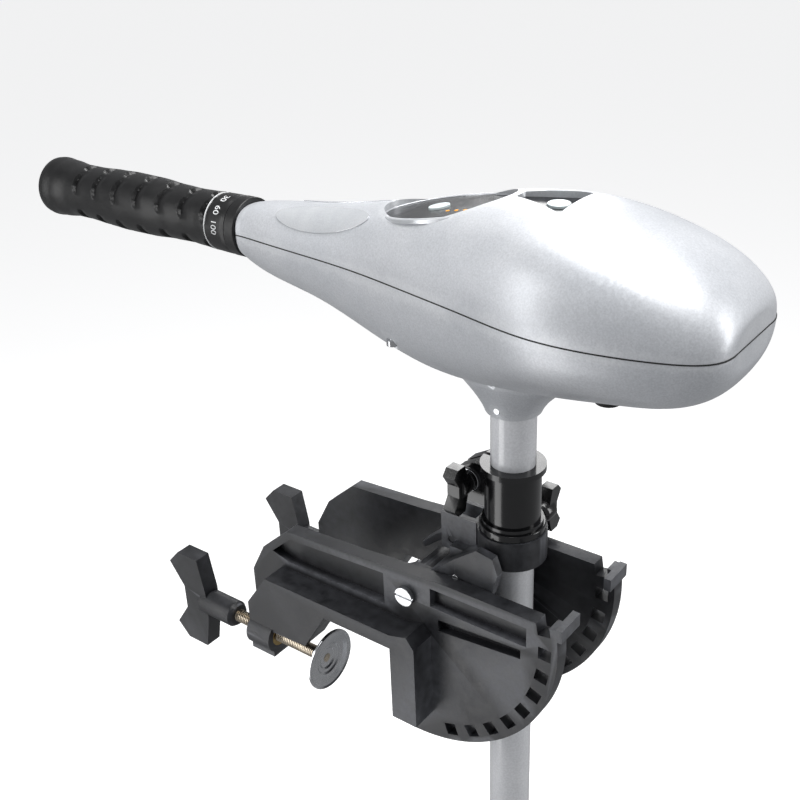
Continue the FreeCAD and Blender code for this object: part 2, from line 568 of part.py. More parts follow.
def tilt_yoke():
    """The yoke that tilts on the pivot bolt: hinge ring, two cheeks, lever box and latch arm."""
    bore = "shaft_radius + running_gap + bushing_wall"
    pin_x = "(pivot_x + window_radius * cos(window_first - 8 * window_pitch))"
    pin_z = "(pivot_z + window_radius * sin(window_first - 8 * window_pitch))"
    ring_top = "ring_bottom + ring_height"
    cheeks = [padded("yoke_cheek_" + side_name(side), CHEEK_OUTLINE, "cheek_thickness",
                     ("0", "%d * (cheek_outer - cheek_thickness / 2)" % side, "0")) for side in (-1, 1)]
    solids = cheeks + [
        rod("yoke_ring", "ring_radius", "ring_height", ("shaft_x", "0", "ring_bottom")),
        padded("yoke_shelf", SHELF_OUTLINE, "2 * cheek_outer", ("0", "0", "0")),
        rod("yoke_sleeve", "bolt_radius + 6", "2 * cheek_outer",
            ("pivot_x", "-cheek_outer", "pivot_z"), "Y"),
        block("yoke_lever_box", ("shaft_x - ring_radius - 6", "lever_width + 10", ring_top + " - 99"),
              ("8", "-lever_width / 2 - 5", "99")),
        block("yoke_arm", ("arm_outer_x - arm_inner_x", "2 * arm_half_width", "ring_bottom + 33"),
              ("arm_inner_x", "-arm_half_width", "-31")),
    ]
    tools = [
        rod("yoke_bushing_bore", bore, "ring_height + 60", ("shaft_x", "0", "ring_bottom - 30")),
        rod("yoke_pivot_bore", "bolt_radius + running_gap", "2 * cheek_outer + 2",
            ("pivot_x", "-cheek_outer - 1", "pivot_z"), "Y"),
        block("yoke_cam_slot", ("cam_thickness + 1", "2 * arm_half_width - 4", "44"),
              ("cam_x - 0.5", "2 - arm_half_width", "-32")),
        rod("yoke_rod_bore", "rod_radius + running_gap", "lever_z + 5",
            ("cam_x + cam_thickness / 2", "0", "-15")),
        rod("yoke_pin_bore", "pin_radius + running_gap", "2 * arm_half_width + 2",
            (pin_x, "-arm_half_width - 1", pin_z), "Y"),
        block("yoke_lever_cavity", ("cam_x + cam_thickness - 1", "lever_width + 1", "60"),
              ("4", "-lever_width / 2 - 0.5", "pivot_z + 14")),
        rod("yoke_axle_bore", "lever_axle_radius + running_gap", "lever_width + 12",
            ("lever_x", "-lever_width / 2 - 6", "lever_z"), "Y"),
        rod("yoke_stud_bore", "stud_radius + running_gap", "cheek_outer - shaft_radius",
            ("shaft_x", "shaft_radius + 1", "ring_bottom + ring_height / 2"), "Y"),
    ]
    screws = []
    for side in (-1, 1):
        tag = side_name(side)
        window_y = "%d * (peg_y + pin_travel / 2) - pin_travel / 2 - 2.5" % side
        tools.append(block("yoke_peg_window_" + tag, (pin_x + " - 23", "pin_travel + 5", "4"),
                           ("23", window_y, pin_z + " - 2")))
        screw_x = "pivot_x + 31"
        screw_z = "ring_bottom - 12"
        inner_face = "%d * (cheek_outer - cheek_thickness / 2) - cheek_thickness / 2" % side
        tools.append(rod("yoke_screw_hole_" + tag, "cheek_screw_radius", "cheek_thickness + 2",
                         (screw_x, inner_face + " - 1", screw_z), "Y"))
        shank = rod("yoke_screw_shank_" + tag, "cheek_screw_radius", "cheek_thickness",
                    (screw_x, inner_face, screw_z), "Y")
        cap = rod("yoke_screw_head_" + tag, "cheek_screw_head", "0.6",
                  (screw_x, "%d * (cheek_outer + 0.3) - 0.3" % side, screw_z), "Y")
        screws.append(joined("yoke_screw_" + tag, [shank, cap]))
    node("tilt_yoke", without("tilt_yoke", joined("tilt_yoke_solid", solids), tools))
    node("yoke_screws", grouped("yoke_screws", screws))
    bushing = pipe("hinge_bushing_pipe", bore, "shaft_radius + running_gap", "ring_height",
                   ("shaft_x", "0", "ring_bottom"))
    pad_hole = rod("bushing_pad_hole", "stud_radius + running_gap", "8",
                   ("shaft_x", "shaft_radius - 1", "ring_bottom + ring_height / 2"), "Y")
    node("hinge_bushing", without("hinge_bushing", bushing, [pad_hole]))
    node("thrust_ring", pipe("thrust_ring", "thrust_radius", "shaft_radius + free_gap", "thrust_height",
                             ("shaft_x", "0", ring_top)))
    latch(pin_x, pin_z)
    tension_knob()


def latch(pin_x, pin_z):
    """A lever pushes the rod and its cam plate down; slanted slots drive the two pins outward."""
    half = "((pin_travel ^ 2 + rod_travel ^ 2) ^ 0.5 / 2 + peg_radius + 0.3)"
    edge = "(peg_radius + 0.3)"
    slot = [("-" + edge, "-" + half), (edge, "-" + half), (edge, half), ("-" + edge, half)]
    slots = []
    for side in (-1, 1):
        slope = math.degrees(math.atan2(side * size("pin_travel"), size("rod_travel")))
        slots.append(padded("cam_slot_" + side_name(side), slot, "20",
                            ("cam_x", "%d * (peg_y + pin_travel / 2)" % side,
                             pin_z + " + rod_travel / 2"), "YZ_Plane", (X_AXIS, -slope)))
    plate = block("cam_plate", ("cam_thickness", "2 * (peg_y + pin_travel) + 5", "rod_travel + 18"),
                  ("cam_x", "-peg_y - pin_travel - 2.5", pin_z + " - 5"))
    stem = rod("latch_stem", "rod_radius", "lever_z - 5 - (%s) - rod_travel - 12" % pin_z,
               ("cam_x + cam_thickness / 2", "0", pin_z + " + rod_travel + 12"))
    node("latch_rod", joined("latch_rod", [without("cam_plate_cut", plate, slots), stem]))
    for side in (-1, 1):
        tag = side_name(side)
        length = "(cheek_outer - 3.3)"
        pin = rod("latch_pin_bar_" + tag, "pin_radius", length,
                  (pin_x, "%d * (4 + %s / 2) - %s / 2" % (side, length, length), pin_z), "Y")
        peg = rod("latch_peg_" + tag, "peg_radius", pin_x + " - cam_x + 1",
                  ("cam_x - 1", "%d * peg_y" % side, pin_z), "X")
        node("latch_pin_" + tag, joined("latch_pin_" + tag, [pin, peg]))
    lever = padded("lever_blade", [
        ("lever_x - 26", "lever_z - 19"), ("lever_x - 14", "lever_z - 9"), ("lever_x - 5", "lever_z - 4"),
        ("lever_x + 4", "lever_z - 3.4"), ("cam_x + cam_thickness + 1", "lever_z - 4"),
        ("cam_x + cam_thickness + 1", "lever_z"), ("lever_x + 4", "lever_z + 4"),
        ("lever_x - 4", "lever_z + 4"), ("lever_x - 16", "lever_z - 4"),
        ("lever_x - 28", "lever_z - 15")], "lever_width", ("0", "0", "0"))
    axle = rod("lever_axle", "lever_axle_radius", "lever_width + 9",
               ("lever_x", "-lever_width / 2 - 4.5", "lever_z"), "Y")
    node("release_lever", joined("release_lever", [lever, axle]))


def tension_knob():
    """The steering drag: a wing knob presses a nylon pad on the shaft through the ring."""
    height = "ring_bottom + ring_height / 2"
    node("tension_pad", rod("tension_pad", "stud_radius - 0.3", "3",
                            ("shaft_x", "shaft_radius + 0.15", height), "Y"))
    node("tension_stud", rod("tension_stud", "stud_radius", "cheek_outer + 12 - shaft_radius - 3.3",
                             ("shaft_x", "shaft_radius + 3.3", height), "Y"))
    wing_knob("tension_knob", "small_hub_radius", "8", "small_span", "small_chord", "small_thickness",
              "stud_radius", "9", ("shaft_x", "cheek_outer + 3", height), (Z_AXIS, 90))


# ---------------------------------------------------------------- depth collar

def depth_collar():
    """The split collar that grips the shaft, rests on the thrust ring and sets the depth."""
    bottom = "(ring_bottom + ring_height + thrust_height)"
    outer = "ear_split / 2 + ear_thickness"
    stud_at = ("shaft_x - stud_distance", bottom + " + collar_height - 16")
    solid = joined("collar_solid", [
        rod("collar_barrel", "collar_radius", "collar_height", ("shaft_x", "0", bottom)),
        rod("collar_foot", "collar_radius + 1.8", "3", ("shaft_x", "0", bottom)),
        rod("collar_flange", "flange_radius", "flange_height",
            ("shaft_x", "0", bottom + " + collar_height - flange_height")),
        padded("collar_ears", [
            ("shaft_x - ear_reach", bottom + " + collar_height - 25"),
            ("shaft_x - ear_reach + 6", bottom + " + collar_height - 32"),
            ("shaft_x - 12", bottom + " + collar_height - 32"),
            ("shaft_x - 12", bottom + " + collar_height - 3"),
            ("shaft_x - ear_reach + 12", bottom + " + collar_height - 3"),
            ("shaft_x - ear_reach", bottom + " + collar_height - 10")],
            "2 * (%s)" % outer, ("0", "0", "0")),
    ])
    node("depth_collar", without("depth_collar", solid, [
        rod("collar_bore", "shaft_radius + running_gap", "collar_height + 2",
            ("shaft_x", "0", bottom + " - 1")),
        block("collar_split", ("ear_reach - shaft_radius + 3", "ear_split", "collar_height + 2"),
              ("shaft_x - ear_reach - 1", "-ear_split / 2", bottom + " - 1")),
        rod("collar_stud_bore", "stud_radius + running_gap", "2 * (%s) + 2" % outer,
            (stud_at[0], "-(%s) - 1" % outer, stud_at[1]), "Y")]))
    node("collar_washer", pipe("collar_washer", "small_hub_radius + 0.8", "stud_radius + running_gap",
                               "1.4", (stud_at[0], "-(%s) - 1.5" % outer, stud_at[1]), "Y"))
    nut_at = (stud_at[0], outer, stud_at[1])
    nut = hexagon("collar_nut_hex", "11", "5", nut_at, "Y")
    nut_bore = rod("collar_nut_bore", "stud_radius + running_gap", "5", nut_at, "Y")
    node("collar_nut", without("collar_nut", nut, [nut_bore]))
    node("collar_stud", rod("collar_stud", "stud_radius", "2 * (%s) + 16.5" % outer,
                            (stud_at[0], "-(%s) - 11.5" % outer, stud_at[1]), "Y"))
    wing_knob("collar_knob", "small_hub_radius", "8", "small_span", "small_chord", "small_thickness",
              "stud_radius", "9.9", (stud_at[0], "-(%s) - 1.6" % outer, stud_at[1]), (Z_AXIS, -90))


# ---------------------------------------------------------------- head

# share of the length, then of the half width, of the rise above the seam and of the drop below it
HEAD_STATIONS = [
    (0.000, 0.290, 0.300, 0.317), (0.061, 0.320, 0.375, 0.467), (0.186, 0.400, 0.464, 0.600),
    (0.319, 0.500, 0.607, 0.833), (0.455, 0.664, 0.800, 1.000), (0.594, 0.848, 0.964, 0.967),
    (0.725, 1.000, 1.000, 0.833), (0.841, 0.960, 0.875, 0.733), (0.922, 0.848, 0.700, 0.650),
    (0.971, 0.720, 0.500, 0.500), (1.000, 0.350, 0.200, 0.200),
]
FULLNESS = 2.4
ARC_STEPS = 14
LAMP_COUNT = 4


def half_section(along_x, half_width, height):
    """A closed half of a full oval: a spline arch over the seam and the seam line below it."""
    power = 2 / FULLNESS
    arch = []
    for step in range(ARC_STEPS + 1):
        angle = math.pi * step / ARC_STEPS
        across = math.copysign(abs(math.cos(angle)) ** power, math.cos(angle)) * half_width
        arch.append(V(along_x, across, height * abs(math.sin(angle)) ** power))
    arch[0].z = arch[-1].z = 0
    curve = Part.BSplineCurve()
    curve.interpolate(arch)
    return Part.Wire([curve.toShape(), Part.LineSegment(arch[-1], arch[0]).toShape()])


def head_half(upper, inset):
    """One half of the head as a solid, drawn in from the outside by an inset."""
    front = -size("head_front")
    length = size("head_length")
    wires = []
    for number, (reach, width, rise, drop) in enumerate(HEAD_STATIONS):
        along_x = front + reach * length
        if inset and number == 0:
            along_x += 2 * inset
        if inset and number == len(HEAD_STATIONS) - 1:
            along_x -= inset
        tall = rise * size("head_rise") if upper else drop * size("head_drop")
        half_width = width * size("head_half_width") - inset
        wires.append(half_section(along_x, half_width, (tall - inset) * (1 if upper else -1)))
    solid = Part.makeLoft(wires, True)
    solid.translate(V(0, 0, size("seam_z")))
    return solid


def ellipse_wire(at, along_x, along_y):
    """A horizontal ellipse, longer along X."""
    curve = Part.Ellipse(V(0, 0, 0), max(along_x, along_y + 1e-3), along_y)
    curve.Center = at
    return Part.Wire([curve.toShape()])


def oval_prism(grow, low, high):
    """An upright prism over the oval panel, tilted with it; low and high are about its face."""
    curve = Part.Ellipse(V(0, 0, 0), size("panel_half_length") + grow, size("panel_half_width") + grow)
    face = Part.Face(Part.Wire([curve.toShape()]))
    face.translate(V(0, 0, low))
    prism = face.extrude(V(0, 0, high - low))
    prism.Placement = FreeCAD.Placement(V(size("panel_x"), 0, size("panel_z")),
                                        FreeCAD.Rotation(Y_AXIS, -size("panel_tilt")))
    return prism


def rear_prism(grow, low, high):
    """A prism over the trapezoid of the rear panel; low and high are about its top face."""
    half = size("rear_panel_length") / 2 + grow
    narrow = size("rear_panel_front_width") / 2 + grow
    wide = size("rear_panel_width") / 2 + grow
    corners = [V(-half, -narrow, low), V(half, -wide, low), V(half, wide, low), V(-half, narrow, low)]
    prism = Part.Face(Part.makePolygon(corners + corners[:1])).extrude(V(0, 0, high - low))
    prism.translate(V(size("rear_panel_x"), 0, size("rear_panel_z")))
    return prism


def upright(radius, length, x, y, z):
    return Part.makeCylinder(radius, length, V(x, y, z))


def head_screw_places():
    """The place of the head of each screw that holds the cover down, and its shank's length."""
    places = []
    for end in ("rear", "front"):
        for side in (1, -1):
            places.append((size(end + "_screw_x"), side * size(end + "_screw_y"),
                           size(end + "_screw_z"), size(end + "_screw_shank")))
    return places


def head():
    """Two moulded shells that meet at a level seam, with panels, buttons and the electronics."""
    seam = size("seam_z")
    wall = size("head_wall")
    front = -size("head_front")
    shaft_x = size("shaft_x")
    tube = Part.makeCylinder(size("tube_radius + running_gap"), size("head_length") / 2,
                             V(front - 5, 0, seam), X_AXIS)
    below = size("panel_thickness")

    upper = head_half(True, 0)
    cover = upper.cut(head_half(True, wall))
    seats = oval_prism(3, -below - 3, 60).fuse(rear_prism(3, -below - 3, 60))
    cover = cover.fuse(upper.common(seats))
    post_radius = size("post_radius")
    screw_radius = size("head_screw_radius")
    for x, y, _, _ in head_screw_places():
        cover = cover.fuse(upright(post_radius, size("head_rise") + 4, x, y, seam).common(upper))
    cover = cover.cut(oval_prism(0.1, -below, 60)).cut(rear_prism(0.1, -below, 60)).cut(tube)
    rear_x = size("rear_panel_x") + 6
    top = size("rear_panel_z")
    cover = cover.cut(oval_prism(-12, -below - 4, 0))
    cover = cover.cut(upright(size("button_radius") + 2, below + 5, rear_x, 0, top - below - 4))
    for x, y, _, _ in head_screw_places():
        cover = cover.cut(upright(screw_radius, 16, x, y, seam - 1))
    node("head_cover", shaped("head_cover", cover))

    lower = head_half(False, 0)
    housing = lower.cut(head_half(False, wall))
    neck_bottom = size("neck_bottom")
    rise = size("neck_top") - neck_bottom
    narrow = size("neck_radius")
    wide = size("neck_top_radius")
    neck = Part.makeLoft([
        ellipse_wire(V(shaft_x, 0, neck_bottom), narrow, narrow - 0.01),
        ellipse_wire(V(shaft_x, 0, neck_bottom + 0.44 * rise), 0.62 * wide, 0.54 * wide),
        ellipse_wire(V(shaft_x, 0, neck_bottom + rise), 0.98 * wide, 0.70 * wide),
        ellipse_wire(V(shaft_x, 0, neck_bottom + 1.5 * rise), 1.2 * wide, 0.80 * wide)], True)
    inside = head_half(False, wall)
    housing = housing.fuse(neck.cut(inside))
    head_height = size("head_screw_seat")
    screws = []
    foot = size("post_foot")
    for x, y, _, _ in head_screw_places():
        housing = housing.fuse(upright(post_radius, seam - foot, x, y, foot).common(lower))
    housing = housing.cut(upright(size("shaft_radius"), rise * 3, shaft_x, 0, neck_bottom - 1))
    housing = housing.cut(tube)
    for x, y, up, length in head_screw_places():
        housing = housing.cut(upright(screw_radius, seam - up + 1, x, y, up))
        housing = housing.cut(upright(size("head_screw_recess"), 22, x, y, up + head_height - 21.9))
        shank = upright(screw_radius, length, x, y, up + head_height)
        screws.append(upright(size("head_screw_head"), head_height, x, y, up).fuse(shank))
    screw_z = neck_bottom + size("neck_screw_rise")
    neck_screw_radius = size("neck_screw_radius")
    axis_at = V(shaft_x, 0, screw_z)
    housing = housing.cut(Part.makeCylinder(neck_screw_radius, 30, axis_at, -Y_AXIS))
    gland_x = shaft_x + size("gland_offset")
    gland_z = size("gland_z")
    gland_hole = upright(size("gland_radius"), 30, gland_x, 0, gland_z)
    housing = housing.cut(gland_hole)
    node("head_housing", shaped("head_housing", housing))
    node("head_screws", shaped("head_screws", Part.makeCompound(screws)))
    node("neck_screw", shaped("neck_screw", Part.makeCylinder(
        neck_screw_radius, 5.5, V(shaft_x, -size("shaft_radius"), screw_z), -Y_AXIS)))

    button_at = size("panel_x") - 8
    slope = math.tan(math.radians(size("panel_tilt")))
    tilt = FreeCAD.Rotation(Y_AXIS, -size("panel_tilt"))

    def panel_rod(radius, x, y, low, high):
        """A round bar square to the oval panel; low and high are about the panel's face."""
        foot = V(x, y, size("panel_z") + (x - size("panel_x")) * slope) + tilt.multVec(V(0, 0, low))
        return Part.makeCylinder(radius, high - low, foot, tilt.multVec(Z_AXIS))

    radius = size("button_radius")
    panel = oval_prism(0, -below, 0).cut(panel_rod(radius + 0.2, button_at, 0, -9, 9))
    lamps = []
    for step in range(LAMP_COUNT):
        x = size("panel_x") + 4 + size("lamp_pitch") * step
        panel = panel.cut(panel_rod(size("lamp_radius"), x, size("lamp_y"), -9, 9))
        lamps.append(panel_rod(size("lamp_radius"), x, size("lamp_y"), -below, 0.2))
    node("control_panel", shaped("control_panel", panel))
    node("led_lenses", shaped("led_lenses", Part.makeCompound(lamps)))
    proud = size("button_proud")
    node("meter_button", shaped("meter_button", panel_rod(radius, button_at, 0, -below, proud)))

    rear = rear_prism(0, -below, 0).cut(upright(radius + 0.2, 20, rear_x, 0, top - 10))
    node("rear_panel", shaped("rear_panel", rear))
    node("power_button", shaped("power_button", upright(
        radius, below + proud, rear_x, 0, top - below)))

    badges = []
    for side in (-1, 1):
        oval = Part.Ellipse(V(0, 0, 0), size("badge_half_length"), size("badge_half_height"))
        prism = Part.Face(Part.Wire([oval.toShape()])).extrude(V(0, 0, size("head_rise") + 4))
        prism.Placement = FreeCAD.Placement(
            V(front + size("badge_place"), 0, seam - size("badge_drop")),
            FreeCAD.Rotation(X_AXIS, -side * size("badge_turn")))
        shell = head_half(True, -size("badge_thickness")).cut(upper)
        badges.append(shell.common(prism))
    node("badges", shaped("badges", Part.makeCompound(badges)))

    node("circuit_board", block("circuit_board", ("board_length", "board_width", "board_thickness"),
                                ("shaft_x + 2", "-board_width / 2", "seam_z - 30")))
    hole_wall = lower.cut(gland_hole)
    gland = upright(size("gland_radius"), 12, gland_x, 0, gland_z)
    gland = gland.fuse(upright(size("gland_flange"), 3, gland_x, 0, gland_z - 1.5)).cut(hole_wall)
    gland = gland.fuse(upright(size("gland_flange") - 0.5, 4, gland_x, 0, gland_z - 4)).cut(hole_wall)
    gland = gland.cut(upright(size("gland_bore"), 40, gland_x, 0, gland_z - 11))
    node("cord_gland", shaped("cord_gland", gland))
    pot_x = "tube_inside - head_front + 14"
    case = rod("speed_pot_case", "pot_radius", "pot_length", (pot_x, "0", "seam_z"), "X")
    socket = rod("speed_pot_bore", "rod_flats / 1.732 + running_gap", "9",
                 (pot_x + " - 1", "0", "seam_z"), "X")
    node("speed_pot", without("speed_pot", case, [socket]))


def tiller():
    """A telescoping tube that carries the twist grip; a six-sided rod takes the twist inside."""
    front = "0 - head_front"
    inside = front + " + tube_inside"
    tube_end = front + " - 25"
    node("extension_tube", pipe("extension_tube", "tube_radius", "tube_radius - tube_wall",
                                "tube_inside + 25", (tube_end, "0", "seam_z"), "X"))
    node("scale_ring", pipe("scale_ring", "grip_radius + 0.4", "tube_radius", "scale_length",
                            (front + " - free_gap - scale_length", "0", "seam_z"), "X"))
    start = front + " - 2 * free_gap - scale_length"
    far = "%s - grip_length + 12" % start
    outside = turned("grip_blank", [
        (start, "0"), (start, "grip_radius"), (start + " - 40", "grip_radius - 1"),
        (start + " - 75", "grip_radius + 1"), (start + " - 120", "grip_radius + 1"),
        (start + " - 165", "grip_radius - 1"), ("%s + 8" % far, "grip_flare"),
        (far, "grip_flare - 1"), (far, "0")],
        ("0", "0", "seam_z"), "X")
    web_start = tube_end + " - free_gap - 8"
    node("grip", without("grip", outside, [
        rod("grip_tube_bore", "tube_radius + running_gap", "%s - (%s) + free_gap + 1" % (start, tube_end),
            (tube_end + " - free_gap", "0", "seam_z"), "X"),
        hexagon("grip_drive", "rod_flats + 0.3", "20", (web_start + " - 1", "0", "seam_z"), "X"),
        rod("grip_hollow", "grip_radius - grip_wall", "%s - (%s)" % (web_start, far),
            (far, "0", "seam_z"), "X")]))
    node("grip_end_cap", joined("grip_end_cap", [
        rod("end_cap_plug", "grip_radius - grip_wall", "7", (far, "0", "seam_z"), "X"),
        rod("end_cap_face", "grip_flare - 1.5", "2", (far + " - 2", "0", "seam_z"), "X")]))
    rod_end = far + " + 12"
    node("control_rod", hexagon("control_rod", "rod_flats", "%s + 22 - (%s)" % (inside, rod_end),
                                (rod_end, "0", "seam_z"), "X"))


# ---------------------------------------------------------------- shaft and lower unit

POD_Z = "(shaft_top - shaft_length - pod_radius)"
POD_X = "(shaft_x - pod_length / 2)"


def shaft():
    node("shaft_tube", pipe("shaft_tube", "shaft_radius", "shaft_radius - shaft_wall", "shaft_length",
                            ("shaft_x", "0", "shaft_top - shaft_length")))
    node("motor_leads", grouped("motor_leads", [
        rod("motor_lead_" + side_name(side), "lead_radius", "shaft_length + 20",
            ("shaft_x", "%d * lead_spread" % side, "shaft_top - shaft_length - 2"))
        for side in (-1, 1)]))


def lower_unit():
    """The sealed direct-current motor: end bells, magnets, armature, brushes and propeller."""
    inner = "pod_radius - pod_wall"
    tail = "(shaft_x + pod_length / 2)"
    can = joined("motor_can_solid", [
        rod("motor_can", "pod_radius", "pod_length", (POD_X, "0", POD_Z), "X"),
        rod("shaft_socket", "socket_radius", "socket_length + 22",
            ("shaft_x", "0", POD_Z + " + pod_radius - 22"))])
    node("motor_housing", without("motor_housing", can, [
        rod("motor_can_bore", inner, "pod_length + 2", (POD_X + " - 1", "0", POD_Z), "X"),
        rod("socket_bore", "shaft_radius", "socket_length + 4",
            ("shaft_x", "0", POD_Z + " + pod_radius")),
        rod("lead_hole", "2 * lead_spread", "20", ("shaft_x", "0", POD_Z + " + pod_radius - 18"))]))
    node("nose_bell", turned("nose_bell", [
        ("0", "pod_radius"), ("-0.25 * nose_length", "0.97 * pod_radius"),
        ("-0.55 * nose_length", "0.82 * pod_radius"), ("-0.8 * nose_length", "0.58 * pod_radius"),
        ("-0.94 * nose_length", "0.33 * pod_radius"), ("-nose_length", "0"),
        ("-22", "0"), ("-22", "bearing_radius"), ("-6", "bearing_radius"),
        ("-6", "0.8 * pod_radius"), ("0", "0.8 * pod_radius")],
        (POD_X, "0", POD_Z), "X"))
    bell = turned("tail_bell_turned", [
        ("0", "pod_radius"), ("0.3 * tail_length", "0.97 * pod_radius"),
        ("0.7 * tail_length", "(pod_radius + tail_radius) / 2 + 3"), ("tail_length", "tail_radius"),
        ("tail_length", "axle_radius + running_gap"), ("22", "axle_radius + running_gap"),
        ("22", "tail_bearing_radius"), ("8", "tail_bearing_radius"),
        ("8", "0.8 * pod_radius"), ("0", "0.8 * pod_radius")], (tail, "0", POD_Z), "X")
    skeg = padded("skeg", [
        ("6", "20 - pod_radius"), ("tail_length - 6", "8 - tail_radius"),
        ("tail_length - 10", "0 - skeg_depth * 0.6"), ("tail_length - 22", "0 - skeg_depth"),
        ("14", "0 - skeg_depth"), ("4", "0 - skeg_depth * 0.6")],
        "skeg_thickness", (tail, "0", POD_Z))
    core = rod("tail_bell_core", "0.8 * pod_radius", "8", (tail, "0", POD_Z), "X")
    node("tail_bell", without("tail_bell", joined("tail_bell_solid", [bell, skeg]), [core]))
    wedge = [("-0.4 * pod_radius", "-pod_radius"), ("0.4 * pod_radius", "-pod_radius"),
             ("0.4 * pod_radius", "pod_radius"), ("-0.4 * pod_radius", "pod_radius")]
    ring = pipe("magnet_ring", inner, inner + " - magnet_thickness", "core_length + 8",
                ("shaft_x - core_length / 2 - 4", "0", POD_Z), "X")
    gaps = padded("magnet_gaps", wedge, "core_length + 12", ("shaft_x", "0", POD_Z), "YZ_Plane")
    node("magnets", without("magnets", ring, [gaps]))
    middle = "shaft_x - core_length / 2"
    armature = joined("armature_solid", [
        rod("armature_core", "core_radius", "core_length", (middle, "0", POD_Z), "X"),
        rod("armature_commutator", "commutator_radius", "commutator_length",
            (middle + " - commutator_length - 2", "0", POD_Z), "X"),
        rod("armature_neck", "10", "4", (middle + " - 3", "0", POD_Z), "X")])
    armature_bore = rod("armature_bore", "axle_radius", "core_length + 40",
                        (middle + " - 30", "0", POD_Z), "X")
    node("armature", without("armature", armature, [armature_bore]))
    axle_end = tail + " + tail_length + hub_length + 12"
    node("motor_shaft", rod("motor_shaft", "axle_radius", "%s - (%s - 20)" % (axle_end, POD_X),
                            (POD_X + " - 20", "0", POD_Z), "X"))
    turning = "axle_radius + running_gap"
    node("bearings", grouped("bearings", [
        pipe("nose_bearing", "bearing_radius", turning, "14", (POD_X + " - 21", "0", POD_Z), "X"),
        pipe("tail_bearing", "tail_bearing_radius", turning, "12", (tail + " + 9", "0", POD_Z), "X")]))
    brushes = []
    for side in (-1, 1):
        foot = "%d * (commutator_radius + 0.3 + brush_reach / 2) - brush_reach / 2" % side
        brushes.append(block("brush_" + side_name(side), ("9", "7", "brush_reach"),
                             (middle + " - 15", "-3.5", "%s + %s" % (POD_Z, foot))))
    node("brush_set", grouped("brush_set", brushes))
    propeller(tail, axle_end)


# share of the blade's reach, chord in millimetres and pitch angle
BLADE_STATIONS = [(0.18, 40, 50), (0.5, 62, 34), (0.85, 52, 24), (1.0, 26, 20)]


def propeller(tail, axle_end):
    """A two-bladed weedless propeller pinned on the motor shaft."""
    start = "%s + tail_length + 2" % tail
    x0 = size(start)
    z0 = size(POD_Z)
    length = size("hub_length")
    radius = size("hub_radius")
    hub = Part.makeCone(radius, 0.8 * radius, length, V(x0, 0, z0), X_AXIS)
    reach = size("blade_reach")
    half = size("blade_half")
    blades = []
    for turn in (0, 180):
        wires = []
        for share, chord, pitch in BLADE_STATIONS:
            corner = [V(-chord / 2, -half, 0), V(chord / 2, -half, 0),
                      V(chord / 2, half, 0), V(-chord / 2, half, 0)]
            place = FreeCAD.Placement(V(0, 0, share * reach), FreeCAD.Rotation(Z_AXIS, 90 - pitch))
            wires.append(Part.makePolygon([place.multVec(point) for point in corner + corner[:1]]))
        blade = Part.makeLoft(wires, True)
        blade.rotate(V(0, 0, 0), X_AXIS, turn)
        blade.translate(V(x0 + length / 2, 0, z0))
        blades.append(blade)
    solid = hub.fuse(blades)
    solid = solid.cut(Part.makeCylinder(size("axle_radius"), length + 2, V(x0 - 1, 0, z0), X_AXIS))
    pin_x = x0 + 8
    pin = Part.makeCylinder(size("drive_pin_radius"), 2 * radius - 18, V(pin_x, 9 - radius, z0), Y_AXIS)
    axle = Part.makeCylinder(size("axle_radius"), 20, V(pin_x - 10, 0, z0), X_AXIS)
    node("propeller", shaped("propeller", solid.cut(pin)))
    node("drive_pin", shaped("drive_pin", pin.cut(axle)))
    nut_at = (start + " + hub_length", "0", POD_Z)
    node("prop_nut", without("prop_nut", joined("prop_nut_solid", [
        hexagon("prop_nut_hex", "prop_nut_flats", "prop_nut_height", nut_at, "X"),
        turned("prop_nut_dome", [
            ("prop_nut_height", "0"), ("prop_nut_height", "prop_nut_flats / 2"),
            ("14", "9"), ("18", "5"), ("19", "0")], nut_at, "X")]),
        [rod("prop_nut_bore", "axle_radius", "%s - (%s)" % (axle_end, nut_at[0]), nut_at, "X")]))


bracket()
for side in (-1, 1):
    clamp(side)
tilt_yoke()
depth_collar()
head()
tiller()
shaft()
lower_unit()
doc.recompute()

for thing in doc.Objects:
    if "Invalid" in thing.State or "Error" in thing.State:
        raise RuntimeError("%s did not build: %s" % (thing.Name, thing.State))
os.makedirs("parts", exist_ok=True)
for thing in nodes:
    shape = thing.Shape
    if shape.isNull() or not shape.isValid():
        raise RuntimeError("%s has no valid shape" % thing.Label)
    shape.exportStep(os.path.join("parts", thing.Label + ".step"))
print(len(nodes), "sub-parts")
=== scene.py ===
# %% [markdown]
# # A transom trolling motor with a hand tiller
# The motor hangs from a boat's transom by two clamp screws.  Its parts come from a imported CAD
# model, which fixes every size and joint.  This lesson gives them their looks: rounded moulded
# edges, threads, finger slots, printed panels and a finish for each surface.
# Everything is in metres, in the CAD model's own frame: +Z is up, -X points at the tiller grip,
# and -Y is the left plate of the bracket.

# %% Loading the CAD model
import json
import math

import bmesh
import bpy
from mathutils import Matrix, Vector

